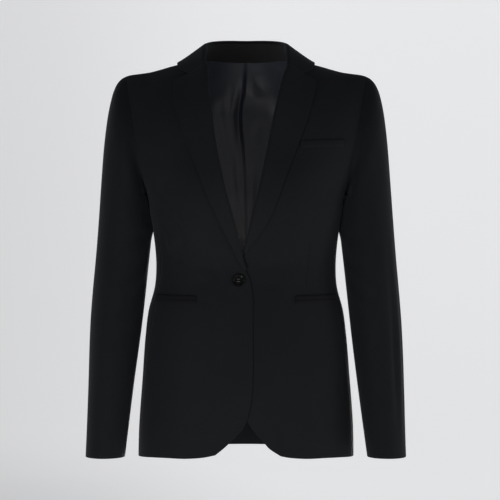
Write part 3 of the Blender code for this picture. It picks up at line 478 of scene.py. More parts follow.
@dataclass(frozen=True)
class BodyFolds:
    """The soft folds of the body, listed one by one and uneven, and its slight unevenness."""

    torso: Torso = Torso()
    # seen from the front: x, z where a fold starts, bends and ends; width, depth, deepest share
    front: Table = (
        (-0.1255, -0.236, -0.1165, -0.259, -0.102, -0.28, 0.005, 0.001, 0.7),
        (-0.103, -0.286, -0.1015, -0.296, -0.1, -0.308, 0.0045, 0.0018, 0.5),
        (-0.119, -0.283, -0.121, -0.3, -0.119, -0.319, 0.009, -0.0034, 0.5),
        (-0.119, -0.319, -0.111, -0.325, -0.102, -0.327, 0.007, 0.002, 0.5),
        (-0.098, -0.315, -0.087, -0.313, -0.077, -0.309, 0.005, 0.001, 0.4),
        (-0.03, -0.354, -0.062, -0.339, -0.098, -0.33, 0.009, 0.0012, 0.3),
        (-0.032, -0.366, -0.07, -0.362, -0.112, -0.37, 0.0085, 0.0009, 0.35),
        (-0.024, -0.342, -0.042, -0.316, -0.06, -0.29, 0.008, 0.0009, 0.4),
        (0.015, -0.348, 0.048, -0.333, 0.086, -0.329, 0.009, 0.001, 0.35),
        (0.016, -0.364, 0.044, -0.366, 0.078, -0.376, 0.008, 0.0008, 0.4),
        (0.104, -0.28, 0.1005, -0.33, 0.096, -0.385, 0.005, 0.0007, 0.5),
        (0.12, -0.265, 0.118, -0.31, 0.116, -0.356, 0.013, -0.0011, 0.5),
        (0.15, -0.23, 0.133, -0.212, 0.113, -0.206, 0.009, 0.0011, 0.3),
        (-0.152, -0.226, -0.134, -0.204, -0.11, -0.196, 0.0095, 0.0013, 0.3),
        (-0.169, -0.15, -0.15, -0.164, -0.133, -0.186, 0.011, 0.001, 0.35),
        (0.17, -0.142, 0.153, -0.162, 0.14, -0.19, 0.012, 0.0009, 0.4),
        (-0.078, -0.42, -0.086, -0.53, -0.09, -0.67, 0.02, 0.0014, 0.8),
        (-0.135, -0.42, -0.145, -0.54, -0.149, -0.67, 0.017, -0.0014, 0.75),
        (0.07, -0.415, 0.082, -0.53, 0.085, -0.67, 0.021, 0.0012, 0.8),
        (0.133, -0.415, 0.14, -0.54, 0.144, -0.67, 0.016, -0.0013, 0.75),
        (-0.035, -0.43, -0.033, -0.52, -0.03, -0.6, 0.018, 0.0007, 0.5),
    )
    # seen from the front as well, on the back
    back: Table = (
        (-0.118, -0.342, -0.08, -0.325, -0.045, -0.323, 0.011, 0.0016, 0.4),
        (0.119, -0.334, 0.084, -0.318, 0.04, -0.321, 0.012, 0.0018, 0.45),
        (-0.108, -0.379, -0.07, -0.364, -0.03, -0.361, 0.009, 0.0011, 0.35),
        (0.11, -0.372, 0.074, -0.361, 0.034, -0.365, 0.0095, 0.0012, 0.4),
        (-0.15, -0.215, -0.122, -0.195, -0.1, -0.165, 0.012, 0.0018, 0.35),
        (0.151, -0.22, 0.127, -0.2, 0.103, -0.172, 0.011, 0.0016, 0.35),
        (-0.162, -0.17, -0.14, -0.145, -0.123, -0.11, 0.013, 0.0013, 0.45),
        (0.164, -0.18, 0.144, -0.15, 0.126, -0.118, 0.012, 0.0012, 0.45),
        (-0.06, -0.43, -0.068, -0.54, -0.072, -0.67, 0.02, 0.0016, 0.8),
        (0.062, -0.43, 0.071, -0.54, 0.074, -0.67, 0.021, 0.0014, 0.8),
        (-0.115, -0.43, -0.123, -0.54, -0.127, -0.67, 0.017, -0.0014, 0.75),
        (0.117, -0.43, 0.124, -0.54, 0.127, -0.67, 0.018, -0.0016, 0.75),
        (-0.06, -0.065, -0.03, -0.06, 0.0, -0.066, 0.009, 0.0008, 0.5),
    )
    # turn across, turn along, phase and size of each slow wave
    waves: Table = (
        (31.0, 17.0, 0.4, 0.0003), (-19.0, 37.0, 1.9, 0.00026), (53.0, -29.0, 3.1, 0.00014),
    )
    wave_slant: float = 0.7
    armhole_top: tuple[float, float] = (0.199, -0.0225)
    armhole_low: tuple[float, float] = (0.1635, -0.22)
    calm: float = 0.034
    neck_calm: tuple[float, float] = (-0.02, -0.075)

    @functools.cache
    def folds(self) -> tuple[Fold, ...]:
        """The folds, each with its path on the form."""
        behind = functools.partial(self.torso.at, facing=Facing.BACK)
        return (*laid_folds(self.front, self.torso.at), *laid_folds(self.back, behind))

    def relief(self, points: Points) -> Points:
        """How far the cloth stands off the form, nothing at the armholes and the neck.

        Args:
            points: Points on the form.

        Returns:
            The lifts.
        """
        lift = sum(fold.relief(points) for fold in self.folds())
        across, along = points[..., 0] + self.wave_slant * points[..., 1], points[..., 2]
        for turn, climb, phase, size in self.waves:
            lift = lift + size * np.sin(turn * across + climb * along + phase)
        flat = np.stack([np.abs(points[..., 0]), along], axis=-1).reshape(-1, 2)
        apart = nearest_on(np.array([self.armhole_top, self.armhole_low]), flat)[2]
        return lift * ease(apart.reshape(along.shape), 0, self.calm) * ease(along, *self.neck_calm)


@dataclass(frozen=True)
class Pattern:
    """The body's seam lines and the grids of its panels between them."""

    torso: Torso = Torso()
    folds: BodyFolds = BodyFolds()
    cloth: Cloth = Cloth()
    fine: int = 6
    back_fine: int = 4
    shoulder_x: float = 0.199
    neck_x: float = 0.075
    neck_back: tuple[float, float] = (0.071, 0.01)
    underarm: tuple[float, float] = (0.1635, -0.22)
    break_z: float = -0.342
    break_soft: float = 0.03
    hem_back_z: float = -0.6432
    # opening edge of each front: z, x; above the break it is the turned edge of the lapel
    right_edge: Table = (
        (0.0145, -0.0715), (0.0065, -0.069), (-0.0117, -0.063), (-0.0482, -0.0609),
        (-0.0767, -0.056), (-0.1176, -0.0515), (-0.15, -0.0463), (-0.1984, -0.0366),
        (-0.24, -0.0262), (-0.2767, -0.0158), (-0.3104, -0.0079), (-0.3297, -0.0045),
        (-0.3442, 0.0002), (-0.3555, 0.005), (-0.3683, 0.0082), (-0.4388, 0.0106),
        (-0.5187, 0.0106), (-0.5395, 0.0098), (-0.5762, 0.0036), (-0.5842, 0.0014),
        (-0.5997, -0.0073), (-0.6158, -0.0222), (-0.6308, -0.0383), (-0.6394, -0.049),
    )
    left_edge: Table = (
        (0.0145, 0.0715), (0.0065, 0.07), (-0.0117, 0.066), (-0.0311, 0.059), (-0.055, 0.0535),
        (-0.085, 0.0468), (-0.1257, 0.0387), (-0.1581, 0.0322), (-0.1984, 0.0242),
        (-0.2384, 0.0146), (-0.2783, 0.005), (-0.3024, -0.0014), (-0.32, -0.0063),
        (-0.3394, -0.018), (-0.3587, -0.029), (-0.41, -0.027), (-0.4548, -0.0207),
        (-0.5506, -0.0046), (-0.5842, 0.002), (-0.5997, 0.0119), (-0.6168, 0.0269),
        (-0.6308, 0.0398), (-0.6394, 0.053),
    )
    # turned edge's radius at the middle of the cloth: z, radius
    roll: Table = ((0.0145, 0.0035), (-0.24, 0.0035), (-0.3, 0.0026), (-0.342, 0.0017))
    # hem of the fronts: distance from the middle, z
    hem_front: Table = (
        (0.049, -0.6394), (0.063, -0.6428), (0.093, -0.6463), (0.132, -0.6467), (0.153, -0.6475),
        (0.178, -0.65),
    )
    # heights of the rows below the armhole, at the side seams
    row_z: tuple[float, ...] = (
        -0.65, -0.641, -0.629, -0.615, -0.599, -0.58, -0.55, -0.51, -0.47, -0.435,
        -0.41, -0.39, -0.37, -0.35, -0.33, -0.31, -0.285, -0.255, -0.225,
    )
    # seams of the side panel: z, x on the front, x on the back
    side_seams: Table = (
        (-0.195, 0.168, 0.168), (-0.235, 0.1535, 0.15), (-0.28, 0.144, 0.138),
        (-0.335, 0.139, 0.13), (-0.399, 0.1492, 0.136), (-0.43, 0.154, 0.1395),
        (-0.47, 0.162, 0.144), (-0.54, 0.17, 0.149), (-0.6, 0.1745, 0.1515), (-0.65, 0.176, 0.153),
    )
    lap_across: tuple[float, float] = (-0.072, -0.04)
    lap_down: tuple[float, float] = (-0.22, -0.3)
    armhole_steps: int = 26
    front_seam_step: int = 10
    back_seam_step: int = 16
    shoulder_steps: int = 8
    neck_steps: int = 4

    def armhole(self, steps: Points) -> Points:
        """Armhole of the left side from the shoulder point down the front, round and up the back.

        Args:
            steps: Places round it, armhole_steps making it whole.

        Returns:
            Its points.
        """
        angle = 2 * math.pi * np.asarray(steps, float) / self.armhole_steps
        top = read(self.torso.ridge, self.shoulder_x)
        share = (1 - np.cos(angle)) / 2
        x = self.shoulder_x + (self.underarm[0] - self.shoulder_x) * share
        z = top + (self.underarm[1] - top) * share
        front, back = self.torso.depth(x, z, Facing.FRONT), self.torso.depth(x, z, Facing.BACK)
        y = np.where(np.sin(angle) > 0, -front, back)
        y = np.where(np.abs(np.sin(angle)) < 1e-9, 0, y)
        return np.stack([x, y, z], axis=-1)

    def shoulder_seam(self, share: Points | float) -> Points:
        """Shoulder seam of the left side from the neck (0) to the shoulder point (1)."""
        x = self.neck_x + (self.shoulder_x - self.neck_x) * np.asarray(share, float)
        return np.stack([x, 0 * x, read(self.torso.ridge, x)], axis=-1)

    def back_neck(self, share: Points) -> Points:
        """Neck seam of the left side from the centre back (0) to the shoulder seam (1).

        Args:
            share: How far along each point is.

        Returns:
            Its points.
        """
        angle = np.asarray(share, float) * math.pi / 2
        top = read(self.torso.ridge, self.neck_x)
        z = self.neck_back[1] + (top - self.neck_back[1]) * np.asarray(share, float)
        curve = [self.neck_x * np.sin(angle), self.neck_back[0] * np.cos(angle), z]
        out = self.torso.drape(np.stack(curve, axis=-1))
        out[share == 1.0] = (self.neck_x, 0, top)
        return out

    def rim(self, side: Side, z: Points) -> Points:
        """Where a front's cloth ends at height z, one roll radius inside the turned edge."""
        edge = self.right_edge if side is Side.RIGHT else self.left_edge
        setback = read(self.roll, z) * ease(z, self.break_z, self.break_z + self.break_soft)
        return read(edge, z) + side.sign * setback

    def lap(self, points: Points) -> Points:
        """How far the right front is raised over the left one."""
        rise = self.cloth.thick + self.cloth.rest_gap
        return rise * ease(points[..., 0], *self.lap_across) * ease(points[..., 2], *self.lap_down)

    def side_seam(self, end: Points, facing: Facing) -> Points:
        """A side seam of the left side from the hem up to the armhole's point where it ends."""
        z = refine([*self.row_z, end[2]], self.fine)
        column = 1 if facing is Facing.FRONT else 2
        line = self.torso.at(read(self.side_seams, z, column), z, facing)
        line[-1] = end
        return line

    def finished(self, points: Points, raised: bool = False) -> Panel:
        """A panel on the form with its folds pressed in, raised first where it laps over."""
        normals = self.torso.normals(points)
        if raised:
            points = points + normals * self.lap(points)[..., None]
        return Panel(points + normals * self.folds.relief(points)[..., None], normals)

    @functools.cache
    def front(self, side: Side) -> Panel:
        """A front: its first column is the opening edge, its last the side seam and armhole.

        Args:
            side: Which front.

        Returns:
            Its outer points and the form's normals there.
        """
        arm = self.armhole(refine(range(self.front_seam_step, -1, -1), self.fine))
        outer = np.concatenate([self.side_seam(arm[0], Facing.FRONT), arm[1:]])
        corner_z = self.right_edge[-1][0]
        neck_z = read(self.torso.ridge, self.neck_x)
        edge_z = corner_z + (neck_z - corner_z) * heights_share(outer)
        edge = self.torso.at(self.rim(side, edge_z), edge_z)
        edge[:, 0] *= side.sign
        edge[-1] = self.shoulder_seam(0.0)
        columns = np.linspace(0, 1, self.shoulder_steps * self.fine + 1)
        hem_x = edge[0, 0] + (outer[0, 0] - edge[0, 0]) * columns
        hem = self.torso.at(hem_x, read(self.hem_front, hem_x))
        hem[0], hem[-1] = edge[0], outer[0]
        patch = self.torso.draped_patch(edge, outer, hem, self.shoulder_seam(columns))
        return self.finished(mirrored(patch, side), raised=side is Side.RIGHT)

    def side_panel(self, side: Side) -> Panel:
        """A side panel, from its front seam to its back seam.

        Args:
            side: Which panel.

        Returns:
            Its outer points and the form's normals there.
        """
        steps = range(self.front_seam_step, self.back_seam_step + 1)
        arm = self.armhole(refine(steps, self.fine // 2))
        front, back = self.side_seam(arm[0], Facing.FRONT), self.side_seam(arm[-1], Facing.BACK)
        share = np.linspace(0, 1, len(arm))[:, None]
        hem = self.torso.drape(front[0] * (1 - share) + back[0] * share)
        hem[0], hem[-1] = front[0], back[0]
        return self.finished(mirrored(self.torso.draped_patch(front, back, hem, arm), side))

    def back(self, side: Side) -> Panel:
        """A back, from the centre back seam to the side seam and armhole.

        Args:
            side: Which back.

        Returns:
            Its outer points and the form's normals there.
        """
        arm = self.armhole(refine(range(self.back_seam_step, self.armhole_steps + 1), self.fine))
        outer = np.concatenate([self.side_seam(arm[0], Facing.BACK), arm[1:]])
        centre_z = self.hem_back_z + (self.neck_back[1] - self.hem_back_z) * heights_share(outer)
        centre = self.torso.at(0.0, centre_z, Facing.BACK)
        neck = self.back_neck(np.linspace(0, 1, self.neck_steps * self.back_fine + 1))
        centre[-1] = neck[0]
        shoulder = self.shoulder_seam(np.linspace(0, 1, self.shoulder_steps * self.back_fine + 1))
        top = np.concatenate([neck, shoulder[1:]])
        hem_x = outer[0, 0] * np.linspace(0, 1, len(top))
        hem_z = self.hem_back_z + (outer[0, 2] - self.hem_back_z) * (hem_x / outer[0, 0]) ** 2
        hem = self.torso.at(hem_x, hem_z, Facing.BACK)
        hem[0], hem[-1] = centre[0], outer[0]
        points = self.torso.draped_patch(centre, outer, hem, top)
        points[:, 0, 0] = 0
        panel = self.finished(mirrored(points, side))
        panel.points[:, 0, 0] = 0
        return panel

    @functools.cache
    def front_tree(self, side: Side) -> BVHTree:
        """The faces of a front's outer side, in which a place on it can be looked up."""
        points = self.front(side).points
        index = np.arange(points[..., 0].size).reshape(points.shape[:2])
        faces = np.stack([index[:-1, :-1], index[:-1, 1:], index[1:, 1:], index[1:, :-1]], axis=-1)
        return BVHTree.FromPolygons(points.reshape(-1, 3).tolist(), faces.reshape(-1, 4).tolist())

    def front_surface(self, side: Side, x: Points, z: Points) -> Panel:
        """Points of a front's outer side and the form's normals there.

        Args:
            side: Which front.
            x: Distances across.
            z: Heights, in the shape of x.

        Returns:
            The points and normals, in the shape of x.
        """
        guess = self.torso.at(x, z)
        points = guess.copy()
        tree = self.front_tree(side)
        for place in np.ndindex(guess.shape[:-1]):
            start = Vector((guess[place][0], -1.0, guess[place][2]))
            hit = tree.ray_cast(start, Vector((0.0, 1.0, 0.0)))[0]
            points[place] = hit or tree.find_nearest(Vector(guess[place]))[0]
        return Panel(points, self.torso.normals(guess))


# Finishes.


class Brush:
    """The node tree of one material, with short ways to add to it."""

    # pitch in metres of a wave texture's bands at scale 1
    band_pitch: float = 0.31416

    def __init__(self, name: str) -> None:
        """Starts a material with its shader and output."""
        self.material = bpy.data.materials.new(name)
        self.material.use_nodes = True
        self.tree = self.material.node_tree
        self.shader = self.tree.nodes["Principled BSDF"]

    def add(self, kind: str, inputs: dict[str | int, object], **settings: object) -> bpy.types.Node:
        """Adds a node.

        Args:
            kind: The node's type, without the leading ShaderNode.
            inputs: A value or a linked socket for each named or numbered input.
            settings: The node's own options.

        Returns:
            The node.
        """
        node = self.tree.nodes.new(f"ShaderNode{kind}")
        for key, value in settings.items():
            setattr(node, key, value)
        self.feed(node, inputs)
        return node

    def feed(self, node: bpy.types.Node, inputs: dict[str | int, object]) -> None:
        """Sets or links a node's inputs."""
        for key, value in inputs.items():
            if isinstance(value, Socket):
                self.tree.links.new(value, node.inputs[key])
            else:
                node.inputs[key].default_value = value

    def maths(self, operation: str, *values: object) -> Socket:
        """The result of a Math node on values or sockets."""
        return self.add("Math", dict(enumerate(values)), operation=operation).outputs[0]

    def noise(self, vector: Socket, scale: float, detail: float = 2.0) -> Socket:
        """The value of a Noise node."""
        inputs = {"Vector": vector, "Scale": scale, "Detail": detail}
        return self.add("TexNoise", inputs).outputs[0]

    def bands(self, vector: Socket, pitch: float, ragged: float) -> Socket:
        """The value of straight bands across X at a pitch in metres."""
        scale = self.band_pitch / pitch
        inputs = {"Vector": vector, "Scale": scale, "Distortion": ragged, "Detail": 1.0}
        return self.add("TexWave", inputs, wave_type="BANDS", bands_direction="X").outputs[1]

    def spread(self, value: Socket, low: float, high: float) -> Socket:
        """A value from 0 to 1 put between low and high."""
        return self.add("MapRange", {0: value, 3: low, 4: high}).outputs[0]

    def fade(self, value: Socket, start: float, stop: float, low: float) -> Socket:
        """A smooth rise from low, where a value is at start, to 1, where it is at stop."""
        inputs = {0: value, 1: start, 2: stop, 3: low, 4: 1.0}
        return self.add("MapRange", inputs, interpolation_type="SMOOTHSTEP").outputs[0]

    def cloth_map(self) -> Socket:
        """The piece's own UV map, in metres."""
        return self.add("UVMap", {}, uv_map="cloth").outputs[0]

    def place(self) -> Socket:
        """The piece's own coordinates, in metres."""
        return self.add("TexCoord", {}).outputs["Object"]

    def turned(self, vector: Socket, angles: Triple) -> Socket:
        """Coordinates turned by angles about each axis."""
        return self.add("Mapping", {"Vector": vector, "Rotation": angles}).outputs[0]

    def stretched(self, vector: Socket, scales: Triple) -> Socket:
        """Coordinates scaled along each axis."""
        return self.add("Mapping", {"Vector": vector, "Scale": scales}).outputs[0]

    def tinted(self, colour: Colour, tone: Socket) -> Socket:
        """A colour times a tone."""
        return self.add("VectorMath", {0: colour, "Scale": tone}, operation="SCALE").outputs[0]

    def bump(self, height: Socket, strength: float, deep: float, over: Socket | None = None) -> Socket:
        """The normal of a relief, over another normal where one is given."""
        inputs = {"Height": height, "Strength": strength, "Distance": deep}
        if over is not None:
            inputs["Normal"] = over
        return self.add("Bump", inputs).outputs[0]

    def finished(self, inputs: dict[str | int, object]) -> bpy.types.Material:
        """The material with its shader's inputs set or linked."""
        self.feed(self.shader, inputs)
        return self.material


@dataclass(frozen=True)
class Suiting:
    """Fine twill suiting with a soft bloom at grazing angles."""

    name: str = "black suiting"
    colour: Colour = (0.0024, 0.0027, 0.0034)
    # slow and broad unevenness: share of the tone, marks a metre
    uneven: float = 0.16
    patches: float = 24.0
    broad: float = 5.0
    # the twill's and yarns' pitch, the twill's angle, and how ragged it is
    pitch: float = 0.0007
    slant: float = 1.08
    ragged: float = 0.6
    yarn_tone: tuple[float, float] = (0.84, 1.16)
    slubs: Triple = (260.0, 420.0, 1.0)
    slub_tone: tuple[float, float] = (0.86, 1.14)
    roughness: tuple[float, float] = (0.74, 0.84)
    sheen: float = 0.026
    sheen_roughness: float = 0.5
    sheen_tint: Colour = (0.86, 0.9, 1.0)
    gloss: float = 0.06
    # shares of twill and yarn in the relief, its strength and its depth
    weave: tuple[float, float] = (0.6, 0.5)
    relief: float = 0.3
    deep: float = 0.00012
    # a dart: half its width, the tone of the painted shade along it, the strength and depth of its
    # groove
    darts: bool = False
    dart_wide: float = 0.0011
    dart_shade_tone: float = 0.45
    dart_relief: float = 0.6
    dart_deep: float = 0.0008

    def dart_line(self, brush: Brush) -> Socket:
        """1 along the middle of the dart, falling to 0 at its sides and past its ends.

        Args:
            brush: What draws the material.

        Returns:
            The value.
        """
        across = brush.add("Attribute", {}, attribute_name="dart").outputs[2]
        run = brush.add("Attribute", {}, attribute_name="dart_run").outputs[2]
        near = brush.maths("DIVIDE", brush.maths("ABSOLUTE", across), self.dart_wide)
        near = brush.maths("SUBTRACT", 1.0, brush.maths("MINIMUM", near, 1.0))
        within = brush.maths("SUBTRACT", 1.0, brush.maths("MINIMUM", run, 1.0))
        return brush.maths("MULTIPLY", near, within)

    def make(self) -> bpy.types.Material:
        """Mixes the finish.

        Returns:
            The material, woven on each piece's own UV map in metres.
        """
        brush = Brush(self.name)
        uv = brush.cloth_map()
        twill = brush.bands(brush.turned(uv, (0.0, 0.0, self.slant)), self.pitch, self.ragged)
        yarn = brush.noise(uv, 1 / self.pitch, 3.0)
        slub = brush.noise(brush.stretched(uv, self.slubs), 1.0)
        tone = brush.spread(brush.noise(uv, self.patches, 3.0), 1 - self.uneven, 1 + self.uneven)
        tone = brush.maths("MULTIPLY", tone, brush.spread(yarn, *self.yarn_tone))
        tone = brush.maths("MULTIPLY", tone, brush.spread(slub, *self.slub_tone))
        twill_high, yarn_high = self.weave
        twill = brush.maths("MULTIPLY", twill, twill_high)
        height = brush.maths("ADD", twill, brush.maths("MULTIPLY", yarn, yarn_high))
        groove = None
        if self.darts:
            line = self.dart_line(brush)
            # painted shade: the cloth's colour is darkened along the dart's line, for the shade in its
            # groove
            tone = brush.maths("MULTIPLY", tone, brush.spread(line, 1.0, self.dart_shade_tone))
            groove = brush.bump(line, self.dart_relief, -self.dart_deep)
        return brush.finished(
            {
                "Base Color": brush.tinted(self.colour, tone),
                "Roughness": brush.spread(brush.noise(uv, self.broad, 1.0), *self.roughness),
                "Specular IOR Level": self.gloss,
                "Sheen Weight": self.sheen,
                "Sheen Roughness": self.sheen_roughness,
                "Sheen Tint": (*self.sheen_tint, 1.0),
                "Normal": brush.bump(height, self.relief, self.deep, groove),
            }
        )


@dataclass(frozen=True)
class Satin:
    """Smooth satin lining, shinier than the cloth, its own bluish tone partly painted lighter for the
    little light inside the blazer.
    """

    name: str = "black satin lining"
    # partly painted light: the lining's own bluish tone, made lighter to make up for the little light
    # inside
    colour: Colour = (0.0165, 0.018, 0.025)
    uneven: float = 0.12
    # streaks along the warp: scale across and along; pressing marks a metre
    streaks: Triple = (60.0, 7.0, 1.0)
    marks: float = 38.0
    # the ribs' pitch, how ragged they are and their share of the relief
    rib: float = 0.0004
    ragged: float = 0.3
    rib_high: float = 0.04
    relief: float = 0.35
    deep: float = 0.0012
    roughness: tuple[float, float] = (0.34, 0.46)
    gloss: float = 0.5
    stretch: float = 0.45

    def make(self) -> bpy.types.Material:
        """Mixes the finish.

        Returns:
            The material, with fine ribs along the warp and soft pressing marks.
        """
        brush = Brush(self.name)
        uv = brush.cloth_map()
        streak = brush.noise(brush.stretched(uv, self.streaks), 1.0)
        rib = brush.maths("MULTIPLY", brush.bands(uv, self.rib, self.ragged), self.rib_high)
        height = brush.maths("ADD", rib, brush.noise(uv, self.marks))
        tone = brush.spread(streak, 1 - self.uneven, 1 + self.uneven)
        return brush.finished(
            {
                "Base Color": brush.tinted(self.colour, tone),
                "Roughness": brush.spread(streak, *self.roughness),
                "Specular IOR Level": self.gloss,
                "Anisotropic": self.stretch,
                "Normal": brush.bump(height, self.relief, self.deep),
            }
        )


@dataclass(frozen=True)
class Polished:
    """Polished black plastic of the button, with a faint mottle and fine wear."""

    name: str = "polished button"
    colour: Colour = (0.001, 0.0011, 0.001)
    # mottle and scuffs a metre, and the mottle's tone
    mottle: float = 420.0
    scuffs: float = 2600.0
    tone: tuple[float, float] = (0.7, 1.5)
    roughness: tuple[float, float] = (0.06, 0.14)
    gloss: float = 0.05
    relief: float = 0.12
    deep: float = 0.00006

    def make(self) -> bpy.types.Material:
        """Mixes the finish.

        Returns:
            The material, on the piece's own coordinates.
        """
        brush = Brush(self.name)
        place = brush.place()
        scuff = brush.noise(place, self.scuffs)
        tone = brush.spread(brush.noise(place, self.mottle, 3.0), *self.tone)
        return brush.finished(
            {
                "Base Color": brush.tinted(self.colour, tone),
                "Roughness": brush.spread(scuff, *self.roughness),
                "Specular IOR Level": self.gloss,
                "Normal": brush.bump(scuff, self.relief, self.deep),
            }
        )


@dataclass(frozen=True)
class Twist:
    """Black sewing thread, twisted."""

    name: str = "black thread"
    colour: Colour = (0.0045, 0.0045, 0.0052)
    # the plies' pitch, slant, raggedness and tone
    pitch: float = 0.0005
    slant: Triple = (0.0, 0.7, 0.6)
    ragged: float = 0.4
    tone: tuple[float, float] = (0.55, 1.3)
    roughness: tuple[float, float] = (0.7, 0.45)
    sheen: float = 0.25
    relief: float = 0.5
    deep: float = 0.0001

    def make(self) -> bpy.types.Material:
        """Mixes the finish.

        Returns:
            The material, its plies slanting over the piece's own coordinates.
        """
        brush = Brush(self.name)
        ply = brush.bands(brush.turned(brush.place(), self.slant), self.pitch, self.ragged)
        return brush.finished(
            {
                "Base Color": brush.tinted(self.colour, brush.spread(ply, *self.tone)),
                "Roughness": brush.spread(ply, *self.roughness),
                "Sheen Weight": self.sheen,
                "Normal": brush.bump(ply, self.relief, self.deep),
            }
        )


@dataclass(frozen=True)
class Paper:
    """Matt pale backdrop paper, lit through from behind."""

    name: str = "pale backdrop"
    colour: Colour = (0.6, 0.6, 0.6)
    mottle: float = 0.7
    tone: tuple[float, float] = (0.99, 1.01)
    roughness: float = 0.95
    gloss: float = 0.1
    glow: Colour = (0.98, 0.985, 1.0)
    glow_strength: float = 0.545
    # painted shade: how much dimmer the paper's colour and glow are towards the left, by its x behind
    # the blazer
    dim_from: float = 0.2
    dim_to: float = -1.6
    dimmest: float = 0.86
    # a soft painted shade on the floor, behind on the left, in the paper's colour and glow
    shade_at: Triple = (-1.15, 5.2, -1.35)
    shade_reach: float = 1.5
    shade: float = 0.84

    def make(self) -> bpy.types.Material:
        """Mixes the finish.

        Returns:
            The material, barely mottled, with painted shade towards the left and on the floor.
        """
        brush = Brush(self.name)
        place = brush.place()
        across = brush.add("SeparateXYZ", {0: place}).outputs[0]
        apart = brush.add("VectorMath", {0: place, 1: self.shade_at}, operation="DISTANCE")
        tone = brush.spread(brush.noise(place, self.mottle), *self.tone)
        dim = brush.fade(across, self.dim_to, self.dim_from, self.dimmest)
        shade = brush.fade(apart.outputs["Value"], 0.0, self.shade_reach, self.shade)
        # painted shade: the paper's colour and glow are dimmed towards the left and on the floor behind
        tone = brush.maths("MULTIPLY", brush.maths("MULTIPLY", tone, dim), shade)
        return brush.finished(
            {
                "Base Color": brush.tinted(self.colour, tone),
                "Roughness": self.roughness,
                "Specular IOR Level": self.gloss,
                "Emission Color": brush.tinted(self.glow, tone),
                "Emission Strength": self.glow_strength,
            }
        )


@dataclass(frozen=True)
class Wardrobe:
    """The finished materials, made once."""

    cloth: bpy.types.Material
    darted: bpy.types.Material
    crosswise_shaded: bpy.types.Material
    stand: bpy.types.Material
    lining: bpy.types.Material
    button: bpy.types.Material
    thread: bpy.types.Material

    @classmethod
    def stocked(cls) -> "Wardrobe":
        """Mixes every finish.

        Returns:
            All the materials of the blazer.
        """
        finishes = {
            "cloth": Suiting(),
            "darted": Suiting("black suiting with a dart", darts=True),
            # painted shade: the crosswise cloth of the pocket lips and the buttonhole is coloured about
            # half as light as the cloth
            "crosswise_shaded": Suiting(
                "black suiting cut crosswise", colour=(0.0012, 0.0013, 0.0017), slant=-0.49
            ),
            # partly painted light: the stand has its own neutral black, coloured lighter than the cloth
            # to make up for the little light inside the neck
            "stand": Suiting("black stand cloth", colour=(0.009, 0.0089, 0.009), slant=0.3),
            "lining": Satin(),
            "button": Polished(),
            "thread": Twist(),
        }
        return cls(**{use: finish.make() for use, finish in finishes.items()})


# Pieces.


def placed(name: str, data: bpy.types.ID) -> bpy.types.Object:
    """A new object in the scene that shows the data."""
    made = bpy.data.objects.new(name, data)
    bpy.context.scene.collection.objects.link(made)
    return made


def mesh_of(bm: bmesh.types.BMesh, name: str) -> bpy.types.Mesh:
    """The mesh of a bmesh, which is freed."""
    mesh = bpy.data.meshes.new(name)
    bm.to_mesh(mesh)
    bm.free()
    return mesh


def mesh_from(drawn: bpy.types.Object, material: bpy.types.Material) -> bpy.types.Mesh:
    """The smooth mesh that an object shows, in one material; the object is removed.

    Args:
        drawn: The object.
        material: The mesh's only material.

    Returns:
        The mesh.
    """
    ready = drawn.evaluated_get(bpy.context.evaluated_depsgraph_get())
    mesh = bpy.data.meshes.new_from_object(ready)
    bpy.data.objects.remove(drawn)
    mesh.materials.clear()
    mesh.materials.append(material)
    mesh.shade_smooth()
    return mesh


def spun(profile: Sequence[tuple[float, float]], steps: int, merge: float) -> bmesh.types.BMesh:
    """A profile turned once about the upright axis.

    Args:
        profile: x, z of its points, the first and last on the axis or not.
        steps: Steps round.
        merge: How near points are merged.

    Returns:
        The turned surface.
    """
    bm = bmesh.new()
    verts = [bm.verts.new((x, 0, z)) for x, z in profile]
    edges = [bm.edges.new(pair) for pair in zip(verts, verts[1:])]
    whole = {"angle": 2 * math.pi, "steps": steps, "use_merge": True}
    bmesh.ops.spin(bm, geom=verts + edges, cent=(0, 0, 0), axis=(0, 0, 1), **whole)
    bmesh.ops.remove_doubles(bm, verts=bm.verts[:], dist=merge)
    return bm


def add_piece(name: str, mesh: bpy.types.Mesh, nodes: Sequence[str]) -> None:
    """Puts a mesh in the scene as a piece of the blazer.

    Args:
        name: The piece's name.
        mesh: Its mesh, in place.
        nodes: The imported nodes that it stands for.
    """
    piece = placed(name, mesh)
    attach(piece, "root")
    if nodes:
        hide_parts(*nodes)
    log.info("%s: %d faces", name, len(mesh.polygons))


